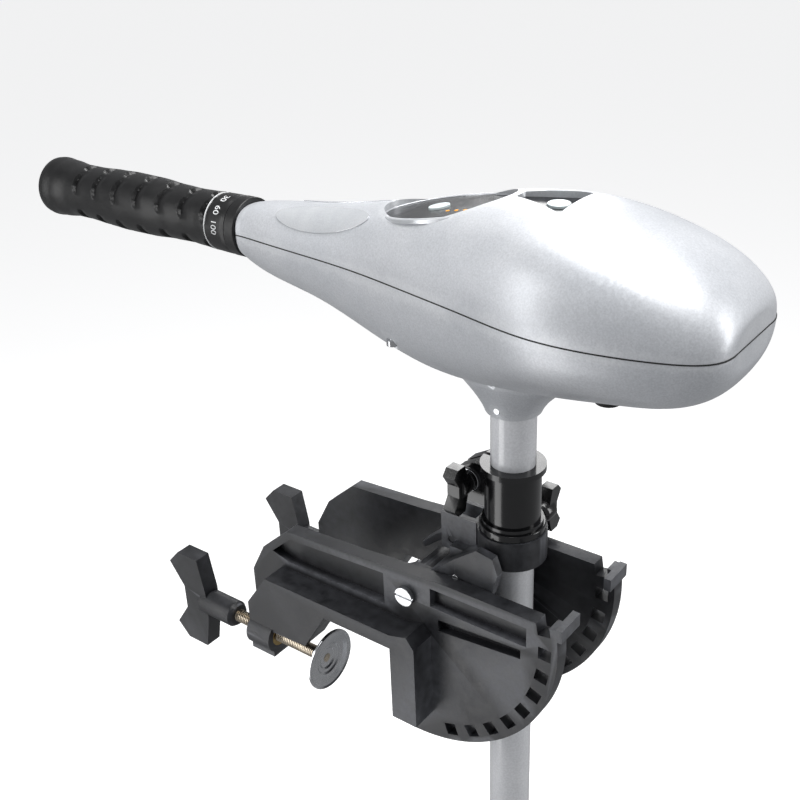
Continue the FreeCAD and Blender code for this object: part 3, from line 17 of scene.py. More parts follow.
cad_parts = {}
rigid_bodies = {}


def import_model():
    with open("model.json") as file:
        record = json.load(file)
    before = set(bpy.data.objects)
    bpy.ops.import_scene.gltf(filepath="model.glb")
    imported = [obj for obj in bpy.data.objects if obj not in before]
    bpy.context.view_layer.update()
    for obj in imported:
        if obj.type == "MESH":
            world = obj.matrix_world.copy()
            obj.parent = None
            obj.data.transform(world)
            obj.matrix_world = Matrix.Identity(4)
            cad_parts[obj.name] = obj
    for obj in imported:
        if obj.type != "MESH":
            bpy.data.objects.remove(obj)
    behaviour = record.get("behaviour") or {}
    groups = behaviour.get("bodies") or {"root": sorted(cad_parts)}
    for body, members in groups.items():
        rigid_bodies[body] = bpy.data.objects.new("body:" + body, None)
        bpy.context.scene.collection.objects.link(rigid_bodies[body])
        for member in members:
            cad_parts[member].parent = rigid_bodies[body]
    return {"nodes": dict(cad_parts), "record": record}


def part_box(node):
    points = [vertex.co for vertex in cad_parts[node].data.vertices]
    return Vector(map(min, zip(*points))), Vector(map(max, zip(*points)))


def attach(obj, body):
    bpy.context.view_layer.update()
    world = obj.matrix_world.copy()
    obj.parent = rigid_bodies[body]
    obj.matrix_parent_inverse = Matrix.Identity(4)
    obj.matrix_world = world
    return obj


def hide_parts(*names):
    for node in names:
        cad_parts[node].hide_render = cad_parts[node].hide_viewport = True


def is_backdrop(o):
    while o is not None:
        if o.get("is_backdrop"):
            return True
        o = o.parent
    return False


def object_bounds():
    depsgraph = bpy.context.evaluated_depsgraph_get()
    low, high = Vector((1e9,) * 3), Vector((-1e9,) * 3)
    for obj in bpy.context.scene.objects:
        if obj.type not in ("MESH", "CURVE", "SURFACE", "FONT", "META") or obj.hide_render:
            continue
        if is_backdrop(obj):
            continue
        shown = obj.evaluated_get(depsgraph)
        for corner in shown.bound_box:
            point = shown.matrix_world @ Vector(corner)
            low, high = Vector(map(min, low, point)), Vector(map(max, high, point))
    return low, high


for leftover in list(bpy.data.objects):
    bpy.data.objects.remove(leftover)
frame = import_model()
cad_low, cad_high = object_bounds()
MM = 0.001
print("CAD box in mm:", [round(side / MM) for side in cad_high - cad_low])

# %% [markdown]
# ## The camera
# A long lens a little above the head shows the grip, the top of the head and the outside of the
# left bracket plate at once.  A camera could be aimed by a Track To constraint, but a small roll
# is wanted too, so its three axes are written straight into its matrix.

# %% Camera
EYE = Vector((0.37086, -0.51714, 0.52383))
HEADING, DIP, ROLL = (math.radians(angle) for angle in (37.84, 26.845, -2.29))

back = Vector((math.sin(HEADING) * math.cos(DIP), -math.cos(HEADING) * math.cos(DIP), math.sin(DIP)))
level = Vector((math.cos(HEADING), math.sin(HEADING), 0))
upward = back.cross(level)
right = level * math.cos(ROLL) + upward * math.sin(ROLL)
top = upward * math.cos(ROLL) - level * math.sin(ROLL)
FOCAL_MM, SENSOR_MM = 50.46, 36
lens = bpy.data.cameras.new("studio_camera")
lens.lens = FOCAL_MM
lens.sensor_width = SENSOR_MM
lens.clip_end = 60
camera = bpy.data.objects.new("studio_camera", lens)
camera.matrix_world = Matrix.Translation(EYE) @ Matrix((right, top, back)).transposed().to_4x4()
bpy.context.scene.collection.objects.link(camera)
bpy.context.scene.camera = camera
print("camera at", [round(place, 3) for place in EYE])

# %% [markdown]
# ## Floor and light
# The floor is one very large pale sheet under the skeg, so that it fills the view like a studio
# sweep.  Five soft lamps do the work: a large one overhead for the bright top of the head, a
# long strip on the left for the sheen along the plates, a low panel that lights the undersides
# and the shaft, and two behind for the far edges.

# %% Floor
FLOOR_RADIUS = 25
FLOOR_GAP = 2 * MM
floor_shape = bmesh.new()
bmesh.ops.create_circle(floor_shape, segments=64, radius=FLOOR_RADIUS, cap_ends=True)
bmesh.ops.translate(floor_shape, verts=floor_shape.verts, vec=(0, 0, cad_low.z - FLOOR_GAP))
floor_mesh = bpy.data.meshes.new("floor")
floor_shape.to_mesh(floor_mesh)
floor_shape.free()
paper = bpy.data.materials.new("white_paper_sweep")
paper.use_nodes = True
sheet = paper.node_tree.nodes["Principled BSDF"]
sheet.inputs["Base Color"].default_value = (0.8, 0.8, 0.8, 1)
sheet.inputs["Roughness"].default_value = 0.9
sheet.inputs["Emission Color"].default_value = (1, 1, 1, 1)
sheet.inputs["Emission Strength"].default_value = 0.62
floor_mesh.materials.append(paper)
floor = bpy.data.objects.new("floor", floor_mesh)
floor.visible_diffuse = False
floor.visible_glossy = False
bpy.context.scene.collection.objects.link(floor)
floor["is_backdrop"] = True
print("floor at", round(cad_low.z, 3))

# %% Lamps and the pale room
def soft_lamp(name, place, aim, width, height, watts):
    """A rectangular soft box that looks at a point."""
    lamp = bpy.data.lights.new(name, "AREA")
    lamp.shape = "RECTANGLE"
    lamp.size, lamp.size_y, lamp.energy = width, height, watts
    holder = bpy.data.objects.new(name, lamp)
    turn = (Vector(aim) - Vector(place)).to_track_quat("-Z", "Y")
    holder.matrix_world = Matrix.Translation(place) @ turn.to_matrix().to_4x4()
    bpy.context.scene.collection.objects.link(holder)
    return holder


soft_lamp("overhead_box", (0.15, 0.15, 1.7), (0.05, 0, 0.2), 1.5, 1.1, 36)
soft_lamp("left_strip", (-1.0, -1.3, 0.5), (0, 0, 0.1), 0.35, 1.5, 9)
soft_lamp("low_left_panel", (-0.75, -1.36, -0.75), (0, 0, 0.1), 0.8, 1.2, 8)
soft_lamp("back_left_panel", (-0.8, 1.4, 0.9), (0, 0, 0.1), 0.6, 0.6, 6)
soft_lamp("rear_strip", (1.5, 0.7, 0.6), (0.1, 0, 0.1), 0.4, 1.4, 10)

room = bpy.data.worlds.new("pale_room")
room.use_nodes = True
room.node_tree.nodes["Background"].inputs["Color"].default_value = (0.93, 0.94, 0.96, 1)
room.node_tree.nodes["Background"].inputs["Strength"].default_value = 0.34
bpy.context.scene.world = room
bpy.context.scene.view_settings.view_transform = "Standard"
print("lamps:", [lamp.name for lamp in bpy.data.lights])

# %% [markdown]
# ## Three helpers for finishes
# Colours are written as the hex values that a paint maker would give, and one function turns them
# to linear light.  Another adds a node with its settings and links.  A third, `pattern_scale`,
# turns the real size of a grain in millimetres into the scale of a noise node.

# %% Colour, node and scale helpers
def paint(code):
    """An sRGB hex colour as linear red, green, blue and 1."""
    shares = [int(code[place:place + 2], 16) / 255 for place in (0, 2, 4)]
    return tuple(part / 12.92 if part <= 0.04045 else ((part + 0.055) / 1.055) ** 2.4
                 for part in shares) + (1.0,)


def add(tree, kind, inputs=None, **settings):
    """Adds a node; an input's value may be another node's output, which is then linked."""
    made = tree.nodes.new(kind)
    for name, value in settings.items():
        setattr(made, name, value)
    for name, value in (inputs or {}).items():
        if isinstance(value, bpy.types.NodeSocket):
            tree.links.new(value, made.inputs[name])
        else:
            made.inputs[name].default_value = value
    return made


def pattern_scale(size_mm):
    return 1 / (size_mm * MM)


print("a 2 mm grain has the scale", pattern_scale(2))

# %% [markdown]
# ## The base of every finish
# Nearly every moulded or metal surface is made of the same layers: broad uneven patches that show in colour
# and gloss, a fine grain that shows in colour and relief, and paler rubbed edges.  The patches and the grain
# are noise in Object coordinates, so they need no UV map.  The rubbed edges come from the mesh's own
# pointiness, broken up by the patches.  `base_finish` builds these layers once, and each material then adds
# what is special about it.

# %% Base finish
PATCH_RANGE = (0.3, 0.7)


def base_finish(name, dark, light, patch_mm, grain_mm, gloss, relief_mm, edge,
                edge_share=0.3, speckle=0.06, **sockets):
    """A finish from two tones, patch and grain sizes, a roughness range and a grain height."""
    material = bpy.data.materials.new(name)
    material.use_nodes = True
    tree = material.node_tree
    shader = tree.nodes["Principled BSDF"]
    for socket, value in sockets.items():
        shader.inputs[socket.replace("_", " ")].default_value = value
    place = add(tree, "ShaderNodeTexCoord").outputs["Object"]
    patches = add(tree, "ShaderNodeTexNoise", {"Vector": place, "Scale": pattern_scale(patch_mm),
                                               "Detail": 5.0, "Roughness": 0.6})
    grain = add(tree, "ShaderNodeTexNoise", {"Vector": place, "Scale": pattern_scale(grain_mm),
                                             "Detail": 2.0})
    tones = add(tree, "ShaderNodeValToRGB", {"Fac": patches.outputs["Fac"]})
    for stop, place_on_ramp, code in zip(tones.color_ramp.elements, PATCH_RANGE, (dark, light)):
        stop.position, stop.color = place_on_ramp, paint(code)
    speck = add(tree, "ShaderNodeMapRange", {"Value": grain.outputs["Fac"],
                                             "From Min": 0.35, "From Max": 0.65,
                                             "To Min": 1 - speckle, "To Max": 1 + speckle})
    speckled = add(tree, "ShaderNodeVectorMath", {0: tones.outputs["Color"]}, operation="SCALE")
    tree.links.new(speck.outputs["Result"], speckled.inputs["Scale"])
    pointiness = add(tree, "ShaderNodeNewGeometry").outputs["Pointiness"]
    convex = add(tree, "ShaderNodeMapRange", {"Value": pointiness, "From Min": 0.52, "From Max": 0.60})
    rubbed = add(tree, "ShaderNodeMath", {0: convex.outputs["Result"], 1: patches.outputs["Fac"]},
                 operation="MULTIPLY")
    share = add(tree, "ShaderNodeMath", {0: rubbed.outputs[0], 1: 2 * edge_share}, operation="MULTIPLY",
                use_clamp=True)
    colour = add(tree, "ShaderNodeMix", {"Factor": share.outputs[0], "A": speckled.outputs["Vector"],
                                         "B": paint(edge)}, data_type="RGBA")
    rough = add(tree, "ShaderNodeMapRange", {"Value": patches.outputs["Fac"],
                                             "From Min": PATCH_RANGE[0], "From Max": PATCH_RANGE[1],
                                             "To Min": gloss[0], "To Max": gloss[1]})
    relief = add(tree, "ShaderNodeBump", {"Height": grain.outputs["Fac"], "Distance": relief_mm * MM,
                                          "Strength": 0.7})
    tree.links.new(colour.outputs["Result"], shader.inputs["Base Color"])
    tree.links.new(rough.outputs["Result"], shader.inputs["Roughness"])
    tree.links.new(relief.outputs["Normal"], shader.inputs["Normal"])
    return material


print("base finish ready")

# %% [markdown]
# ## The head's finish
# The head's shells are ABS, injection moulded and then sprayed with a pearl lacquer: white
# pigment, fine mica flakes and a satin clear coat.  A plain white would look like bathroom
# plastic.  Small bright and dark flakes over the base, a little metallic share and a soft coat
# give the silvery depth.  Real flakes are 0.05 mm across, too fine to show, so they are drawn
# 0.8 mm across.

# %% Pearl lacquer on ABS
FLAKE_MM = 0.8
pearl = base_finish("pearl_lacquer_sprayed_on_abs", "c2c5ca", "d0d2d6", 60, 1.1, (0.36, 0.44), 0.012,
                    "eceef0", 0.2, Metallic=0.35, Coat_Weight=0.3, Coat_Roughness=0.3)
tree = pearl.node_tree
flakes = add(tree, "ShaderNodeTexVoronoi", {"Vector": tree.nodes["Texture Coordinate"].outputs["Object"],
                                            "Scale": pattern_scale(FLAKE_MM)})
sparkle = add(tree, "ShaderNodeMapRange", {"Value": flakes.outputs["Color"],
                                           "From Min": 0.1, "From Max": 0.9,
                                           "To Min": 0.96, "To Max": 1.04})
base = tree.nodes["Principled BSDF"].inputs["Base Color"]
glitter = add(tree, "ShaderNodeVectorMath", {0: base.links[0].from_socket}, operation="SCALE")
tree.links.new(sparkle.outputs["Result"], glitter.inputs["Scale"])
tree.links.new(glitter.outputs["Vector"], base)
print(pearl.name, "flakes", FLAKE_MM, "mm")

# %% [markdown]
# ## Black plastics and rubber
# Three blacks meet on this motor, and each has its own gloss.  The bracket is nylon filled with
# glass fibre: grey-black, faintly marbled where the fibres reach the skin, and rubbed pale on
# its rims.  The collar and the small knobs are acetal, smooth and glossy.  The grip is a soft
# satin elastomer.

# %% Black finishes
glass_nylon = base_finish("glass_filled_nylon_moulded", "151619", "292a2e", 7, 0.9, (0.36, 0.52), 0.06,
                          "84868c", 0.35)
acetal = base_finish("black_acetal_moulded", "070708", "101012", 12, 1.2, (0.14, 0.24), 0.006,
                     "3c3d40", 0.2, Coat_Weight=0.25, Coat_Roughness=0.1)
satin_grip = base_finish("satin_elastomer_moulded", "09090a", "131314", 10, 0.7, (0.34, 0.46), 0.02,
                         "3a3b3d", 0.2)
soft_rubber = base_finish("soft_rubber_moulded", "0b0b0b", "171717", 6, 0.6, (0.6, 0.75), 0.03, "2c2c2c")
black_case = base_finish("phenolic_case_moulded", "101010", "1d1c1b", 5, 0.6, (0.4, 0.55), 0.02, "3a3938")
prop_nylon = base_finish("impact_nylon_moulded", "0e0f10", "1b1c1e", 9, 1.0, (0.32, 0.45), 0.03,
                         "5c5e62", 0.3)
print("black finishes:", len([finish for finish in bpy.data.materials if "moulded" in finish.name]))

# %% [markdown]
# ## Metals
# Stainless steel parts are turned and tumbled, so they show soft uneven gloss.  The clamp screws
# are rolled and passivated, which leaves a warm straw tint.  A metal's colour is its reflection,
# so the Principled shader is fully metallic and keeps its default IOR.

# %% Metal finishes
stainless = base_finish("stainless_steel_turned", "b4b6b9", "c9cacc", 22, 0.5, (0.14, 0.28), 0.008,
                        "e6e6e6", 0.3, Metallic=1.0)
straw_steel = base_finish("passivated_steel_rolled", "6b6359", "998c79", 5, 0.5, (0.2, 0.34), 0.01,
                          "e8dcc8", 0.5, Metallic=1.0)
brass = base_finish("brass_machined", "8a754d", "a78f60", 5, 0.5, (0.25, 0.4), 0.01,
                    "e4d09a", 0.3, Metallic=1.0)
aluminium = base_finish("aluminium_drawn", "b3b5b8", "cccdd0", 14, 0.6, (0.26, 0.4), 0.01,
                        "e4e5e6", 0.3, Metallic=1.0)
core_steel = base_finish("silicon_steel_laminated", "4c4d50", "66676a", 6, 0.5, (0.35, 0.5), 0.02,
                         "8e8f92", 0.3, Metallic=1.0)
print("metals:", [metal.name for metal in (stainless, straw_steel, brass, aluminium, core_steel)])

# %% [markdown]
# ## White, clear and printed finishes
# The shaft is a pultruded composite with a glossy gel skin.  The motor below the water is cast
# aluminium under white enamel, a little orange-peeled.  The panels are polycarbonate film,
# printed black from behind with fine diagonal lines.

# %% White, printed and small finishes
shaft_white = base_finish("glass_composite_pultruded", "d3d5d9", "e0e1e4", 90, 1.4, (0.12, 0.2), 0.004,
                          "f2f2f2", 0.1, Coat_Weight=0.5, Coat_Roughness=0.08)
enamel = base_finish("white_enamel_on_casting", "c6c9cc", "d6d8da", 40, 2.2, (0.22, 0.34), 0.03,
                     "a8aaac", 0.3, Coat_Weight=0.4, Coat_Roughness=0.15)
silver_badge = base_finish("silver_abs_moulded", "cdd0d4", "dcdee1", 20, 0.8, (0.2, 0.28), 0.006,
                           "f4f4f4", 0.3, Metallic=0.4)
film = base_finish("polycarbonate_film_printed", "0a0b0d", "121316", 10, 0.8, (0.14, 0.22), 0.003,
                   "26282c", 0.2)
button_film = base_finish("domed_film_printed", "c9d6d8", "dde6e6", 4, 0.5, (0.2, 0.3), 0.004, "f4f6f6", 0.2)
amber = base_finish("amber_acrylic_moulded", "c47a10", "e8a62c", 2, 0.4, (0.08, 0.16), 0.002, "ffd98a", 0.2,
                    Emission_Color=paint("ffb030"), Emission_Strength=0.6)
solder_mask = base_finish("solder_mask_on_glass_epoxy", "0d3a1c", "15502a", 5, 0.6, (0.3, 0.4), 0.01,
                          "6f8a55")
ferrite = base_finish("ferrite_sintered", "1c1c1e", "2b2b2d", 5, 0.7, (0.5, 0.7), 0.03, "505052")
carbon = base_finish("carbon_pressed", "121212", "1e1e1f", 3, 0.5, (0.4, 0.6), 0.02, "3c3c3c")
white_ink = base_finish("white_ink_printed", "dfe1e2", "f2f3f3", 3, 0.4, (0.4, 0.5), 0.002, "ffffff", 0.1)
teal_ink = base_finish("teal_ink_printed", "0e8c8c", "1fb0ae", 3, 0.4, (0.35, 0.45), 0.002, "3cc8c4", 0.1)

HATCH_MM = 1.7
tree = film.node_tree
slanted = add(tree, "ShaderNodeMapping", {"Vector": tree.nodes["Texture Coordinate"].outputs["Object"],
                                          "Rotation": (0, 0, math.radians(40))})
lines = add(tree, "ShaderNodeTexWave", {"Vector": slanted.outputs["Vector"],
                                        "Scale": pattern_scale(HATCH_MM) / 20 * math.tau})
thin = add(tree, "ShaderNodeMapRange", {"Value": lines.outputs["Fac"], "From Min": 0.75, "From Max": 0.95,
                                        "To Max": 0.7})
base = tree.nodes["Principled BSDF"].inputs["Base Color"]
hatched = add(tree, "ShaderNodeMix", {"Factor": thin.outputs["Result"], "A": base.links[0].from_socket,
                                      "B": paint("3a3c41")}, data_type="RGBA")
tree.links.new(hatched.outputs["Result"], base)
print("panel lines every", HATCH_MM, "mm")

# %% [markdown]
# ## Who wears what
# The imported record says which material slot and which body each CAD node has.  A table from slot
# to finish and to the radius of that material's edges is then enough to dress every node.

# %% Slots, bodies and edge radii
FINISHES = {
    "bracket_nylon": (glass_nylon, 1.3), "stainless": (stainless, 0.3), "bronze_thread": (straw_steel, 0.2),
    "brass_insert": (brass, 0.3), "collar_acetal": (acetal, 0.9), "bush_nylon": (acetal, 0.8),
    "pearl_shell": (pearl, 0.6), "badge_silver": (silver_badge, 0.2), "panel_film": (film, 0.25),
    "button_white": (button_film, 0.5), "amber_lens": (amber, 0.1), "board_green": (solder_mask, 0.1),
    "gland_rubber": (soft_rubber, 0.7), "black_case": (black_case, 0.4), "grip_rubber": (satin_grip, 0.9),
    "tube_aluminium": (aluminium, 0.3), "shaft_composite": (shaft_white, 0.4), "pod_enamel": (enamel, 0.8),
    "ferrite": (ferrite, 0.4), "core_steel": (core_steel, 0.3), "carbon": (carbon, 0.2),
    "prop_nylon": (prop_nylon, 0.5),
}
slot_of = {part["node"]: part["material_slot"] for part in frame["record"]["subparts"]}
body_of = {node: body for body, group in frame["record"]["behaviour"]["bodies"].items() for node in group}

# %% [markdown]
# ## Turning a mesh into a piece
# A piece is a mesh with smooth faces that rides on its body, names the slot of its finish, and
# may stand for CAD nodes.  A bevel on sharp edges only, by angle, rounds them as a mould or a
# deburring tool does, and its strip of faces catches the light.

# %% Piece maker
SHARP = math.radians(32)
BROAD_MM = 1.5


def show(name, shape, body, slot, stands_for=(), material=None, edge_mm=None):
    """Makes a shown piece from a bmesh, rounds its sharp edges and puts it on its body."""
    finish, usual_edge = FINISHES[slot]
    width = usual_edge if edge_mm is None else edge_mm
    mesh = bpy.data.meshes.new(name)
    shape.to_mesh(mesh)
    shape.free()
    mesh.shade_smooth()
    mesh.set_sharp_from_angle(angle=SHARP)
    mesh.materials.append(material or finish)
    piece = bpy.data.objects.new(name, mesh)
    bpy.context.scene.collection.objects.link(piece)
    if width:
        rounding = piece.modifiers.new("rounded_edges", "BEVEL")
        rounding.limit_method, rounding.angle_limit = "ANGLE", SHARP
        rounding.width, rounding.segments = width * MM, 3 if width < BROAD_MM else 6
        rounding.harden_normals = True
    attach(piece, body)
    if stands_for:
        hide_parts(*stands_for)
    return piece


print("sharp edges are those over", round(math.degrees(SHARP)), "degrees")

# %% [markdown]
# ## Rounded copies of the CAD nodes
# A CAD node's mesh is loose triangles.  A copy is merged into one skin, its flat faces are made
# whole again, and it is then shown in the node's place with rounded edges.  Free-form shells
# keep all their triangles, because their surface is curved everywhere.

# %% Copy maker
FLAT = math.radians(0.2)


def merged(node, flat_faces=True):
    """A CAD node's mesh as one closed skin."""
    shape = bmesh.new()
    shape.from_mesh(frame["nodes"][node].data)
    bmesh.ops.remove_doubles(shape, verts=shape.verts, dist=0.002 * MM)
    if flat_faces:
        bmesh.ops.dissolve_limit(shape, angle_limit=FLAT, verts=shape.verts, edges=shape.edges)
    return shape


def copied(node, flat_faces=True, edge_mm=None):
    return show(node + "_finished", merged(node, flat_faces), body_of[node], slot_of[node], [node],
                edge_mm=edge_mm)


# Nodes that get a new shape below.
remade = set()
print("flat faces are whole within", round(math.degrees(FLAT), 1), "degrees")

# %% [markdown]
# ## The clamp screws
# A clamp screw is a rod with a rolled thread, sixteen turns to the inch.  A thread could be a
# normal map, but its crests show against the light, so it is real: one closed triangle is spun
# round the screw while it moves along it, and a plain core fills the inside.

# %% Threads
THREAD_PITCH = 25.4 / 16 * MM
THREAD_DEPTH = 0.9 * MM
CORE_SHARE = 0.8
TIP_LENGTH = 9 * MM
NECK_SHARE = 0.68
STEPS = 20
ACROSS_X = Matrix.Rotation(math.radians(90), 4, "Y")


def threaded_rod(start, end, radius, pitch, depth):
    """A core and one helical ridge along X, from start to end, both inside the given radius."""
    shape = bmesh.new()
    length = end.x - start.x
    core = radius - depth * CORE_SHARE
    bmesh.ops.create_cone(shape, cap_ends=True, segments=32, radius1=core, radius2=core,
                          depth=length, matrix=ACROSS_X)
    bmesh.ops.translate(shape, verts=shape.verts, vec=(start + end) / 2)
    corners = [shape.verts.new(start + Vector((along * pitch, 0, out)))
               for along, out in ((0.06, radius - depth), (0.5, radius), (0.94, radius - depth))]
    ridge = shape.faces.new(corners)
    turns = length / pitch - 1
    steps = int(turns * STEPS)
    bmesh.ops.spin(shape, geom=[ridge] + ridge.edges[:] + corners, cent=start, axis=(1, 0, 0),
                   angle=math.tau * turns, dvec=(turns * pitch / steps, 0, 0), steps=steps,
                   use_merge=False)
    bmesh.ops.recalc_face_normals(shape, faces=shape.faces)
    return shape


for side in ("left", "right"):
    node = "clamp_screw_" + side
    low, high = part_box(node)
    middle = (low + high) / 2
    radius = (high.z - low.z) / 2
    shape = threaded_rod(Vector((low.x, middle.y, middle.z)),
                         Vector((high.x - TIP_LENGTH, middle.y, middle.z)),
                         radius, THREAD_PITCH, THREAD_DEPTH)
    neck_length = TIP_LENGTH + 1 * MM
    neck = bmesh.ops.create_cone(shape, cap_ends=True, segments=32, radius1=radius * NECK_SHARE,
                                 radius2=radius * NECK_SHARE, depth=neck_length,
                                 matrix=ACROSS_X)["verts"]
    bmesh.ops.translate(shape, verts=neck, vec=(high.x - neck_length / 2, middle.y, middle.z))
    show(node + "_threaded", shape, body_of[node], slot_of[node], [node], edge_mm=0)
    remade.add(node)
print("thread pitch", round(THREAD_PITCH / MM, 3), "mm")

# %% [markdown]
# ## The grip
# The grip is one long turned form, flared at its tip, with rows of crescent finger slots.  Cutting
# each slot with a boolean would leave sharp rims.  A mould maker would sink a rounded tool, so the
# profile is spun into a fine skin, and each slot is then pressed into it by moving vertices in.

# %% Grip body
grip_low, grip_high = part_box("grip")
axis_z = (grip_low.z + grip_high.z) / 2
grip_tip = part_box("grip_end_cap")[0].x
GRIP_PROFILE = [(0.0, 20.2), (1.2, 21.5), (5, 22.0), (14, 21.2), (30, 19.6), (45, 19.6), (70, 20.7),
                (85, 21.2), (110, 20.9), (135, 19.4), (152, 18.9), (165, 19.3), (176, 19.9),
                (192, 20.2), (195.0, 19.8)]
SKIN_STEP = 1.0 * MM
AROUND = 120


def radius_at(along):
    """The grip's radius at a distance from its tip, eased between the profile's points."""
    place = along / MM
    for (start, low_radius), (end, high_radius) in zip(GRIP_PROFILE, GRIP_PROFILE[1:]):
        if place <= end:
            share = (place - start) / (end - start)
            return (low_radius + (high_radius - low_radius) * share * share * (3 - 2 * share)) * MM
    return GRIP_PROFILE[-1][1] * MM


grip_length = grip_high.x - grip_tip
skin = bmesh.new()
count = int(grip_length / SKIN_STEP)
stations = [grip_length * step / count for step in range(count + 1)]
line = [skin.verts.new((grip_tip + along, 0, axis_z + radius_at(along))) for along in stations]
line = [skin.verts.new((grip_tip, 0, axis_z))] + line + [skin.verts.new((grip_high.x, 0, axis_z))]
edges = [skin.edges.new(pair) for pair in zip(line, line[1:])]
bmesh.ops.spin(skin, geom=line + edges, cent=(0, 0, axis_z), axis=(1, 0, 0), angle=math.tau,
               steps=AROUND, use_merge=True)
bmesh.ops.remove_doubles(skin, verts=skin.verts, dist=0.01 * MM)
bmesh.ops.recalc_face_normals(skin, faces=skin.faces)
print("grip", round(grip_length / MM), "mm long,", len(skin.verts), "points")

# %% [markdown]
# ## Finger slots
# Seven slots stand in each row, 22 mm apart.  Each is a crescent that bulges towards the tip:
# a steep wall at its rim, and a long slope back up to the surface.

# %% Pressing the slots
SLOT_ROWS = [(37, 27), (143, 27), (90, 19), (-46, 22), (226, 22)]
SLOT_FIRST, SLOT_PITCH, SLOT_COUNT = 37 * MM, 22.3 * MM, 7
SLOT_DEPTH, SLOT_WIDTH, SLOT_BULGE = 3.0 * MM, 9 * MM, 3.6 * MM


def pressed(along, angle):
    """How deep the slots reach at a place on the grip."""
    for middle, half_span in SLOT_ROWS:
        off = ((angle - middle + 180) % 360 - 180) / half_span
        if abs(off) >= 1:
            continue
        rim = SLOT_FIRST + SLOT_BULGE * off * off
        number = round((along - rim - SLOT_WIDTH / 2) / SLOT_PITCH)
        across = (along - rim - number * SLOT_PITCH) / SLOT_WIDTH
        if 0 <= number < SLOT_COUNT and 0 < across < 1:
            wall = min(1, across / 0.14)
            return SLOT_DEPTH * math.sqrt(1 - off * off) * wall * wall * (3 - 2 * wall) * (1 - across) ** 1.4
    return 0.0


for point in skin.verts:
    out = Vector((0, point.co.y, point.co.z - axis_z))
    if out.length > 5 * MM:
        sunk = pressed(point.co.x - grip_tip, math.degrees(math.atan2(out.z, -out.y)))
        point.co -= out.normalized() * sunk
show("grip_moulded", skin, "grip", "grip_rubber", ["grip", "grip_end_cap"], edge_mm=0)
remade.update(("grip", "grip_end_cap"))
print("slots:", len(SLOT_ROWS) * SLOT_COUNT)

# %% [markdown]
# ## Lettering
# The print is real: text is set flat, made a mesh and cut finely so that it can bend.  It is then
# laid on the surface a few hundredths of a millimetre proud.  On the grip a letter's width runs
# round the axis as an angle, and its height runs along it, with its top towards the head.

# %% Flat text as a mesh
INK_MM = 0.06
FONT_SHARE = 1.4


def lettering(words, height_mm):
    """A bmesh of flat words, centred on the origin, with its letters' tops towards +Y."""
    curve = bpy.data.curves.new("words", "FONT")
    curve.body = words
    curve.size = height_mm * MM * FONT_SHARE
    curve.align_x, curve.align_y = "CENTER", "CENTER"
    holder = bpy.data.objects.new("words", curve)
    flat = bpy.data.meshes.new_from_object(holder)
    shape = bmesh.new()
    shape.from_mesh(flat)
    bpy.data.objects.remove(holder)
    bmesh.ops.triangulate(shape, faces=shape.faces)
    bmesh.ops.subdivide_edges(shape, edges=shape.edges, cuts=2)
    return shape


# Each mark and its angle up from the left side, in degrees.
MARKS = (("30", 72), ("60", 42), ("100", 8))
MARK_HEIGHT_MM = 5
MARK_PLACE = 186 * MM
for words, middle in MARKS:
    shape = lettering(words, MARK_HEIGHT_MM)
    for point in shape.verts:
        along = MARK_PLACE + point.co.y
        reach = radius_at(along) + INK_MM * MM
        angle = math.radians(middle) - point.co.x / reach
        point.co = Vector((grip_tip + along, -reach * math.cos(angle), axis_z + reach * math.sin(angle)))
    bmesh.ops.recalc_face_normals(shape, faces=shape.faces)
    show("grip_mark_" + words, shape, "grip", "grip_rubber", material=white_ink, edge_mm=0)
print("marks on the grip:", [words for words, _ in MARKS])

# %% [markdown]
# ## The white line
# A thin white line runs round the grip beside the marks: the edge of a disc shows as that line.

# %% White line round the grip
LINE_PLACE, LINE_WIDTH = 177 * MM, 0.7 * MM
line_radius = radius_at(LINE_PLACE) + INK_MM * MM
band = bmesh.new()
bmesh.ops.create_cone(band, cap_ends=True, segments=AROUND, radius1=line_radius, radius2=line_radius,
                      depth=LINE_WIDTH, matrix=ACROSS_X)
bmesh.ops.translate(band, verts=band.verts, vec=(grip_tip + LINE_PLACE, 0, axis_z))
show("grip_line", band, "grip", "grip_rubber", material=white_ink, edge_mm=0)
print("line at", round(LINE_PLACE / MM), "mm from the tip")

# %% [markdown]
# ## The cup pads
# The pads are pressed discs with steps turned into their faces.  A spun outline gives each step
# its own sharp ring of light.

# %% Cup pads
# Along the screw from the pressing face, and outwards, in millimetres.
PAD_PROFILE = [(-12, 0), (-12, 7.8), (-6, 7.8), (-5.5, 12.4), (-2, 22.5), (-0.6, 22.5), (0, 21.7),
               (-0.9, 20.3), (-0.9, 18.6), (-2.0, 16.6), (-2.2, 12.2), (-3.2, 10.9), (-3.2, 8.6),
               (-4.2, 7.2), (-4.2, 0)]
PAD_EDGE_MM = 0.25
for side in ("left", "right"):
    node = "cup_pad_" + side
    low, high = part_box(node)
    middle = (low + high) / 2
    shape = bmesh.new()
    line = [shape.verts.new((high.x + along * MM, middle.y, middle.z + out * MM))
            for along, out in PAD_PROFILE]
    edges = [shape.edges.new(pair) for pair in zip(line, line[1:])]
    bmesh.ops.spin(shape, geom=line + edges, cent=middle, axis=(1, 0, 0), angle=math.tau, steps=AROUND,
                   use_merge=True)
    bmesh.ops.remove_doubles(shape, verts=shape.verts, dist=0.01 * MM)
    bmesh.ops.recalc_face_normals(shape, faces=shape.faces)
    show(node + "_turned", shape, body_of[node], slot_of[node], [node], edge_mm=PAD_EDGE_MM)
    remade.add(node)
print("pad profile points:", len(PAD_PROFILE))

# %% [markdown]
# ## The control panel
# The oval panel sits in a raised silver rim.  Its print follows the panel's slope: a teal ring
# round the meter button, a teal stripe inside the panel's edge, and white rings and percentages
# by the lamps.  One function makes every oval ring, from its outline's cut.

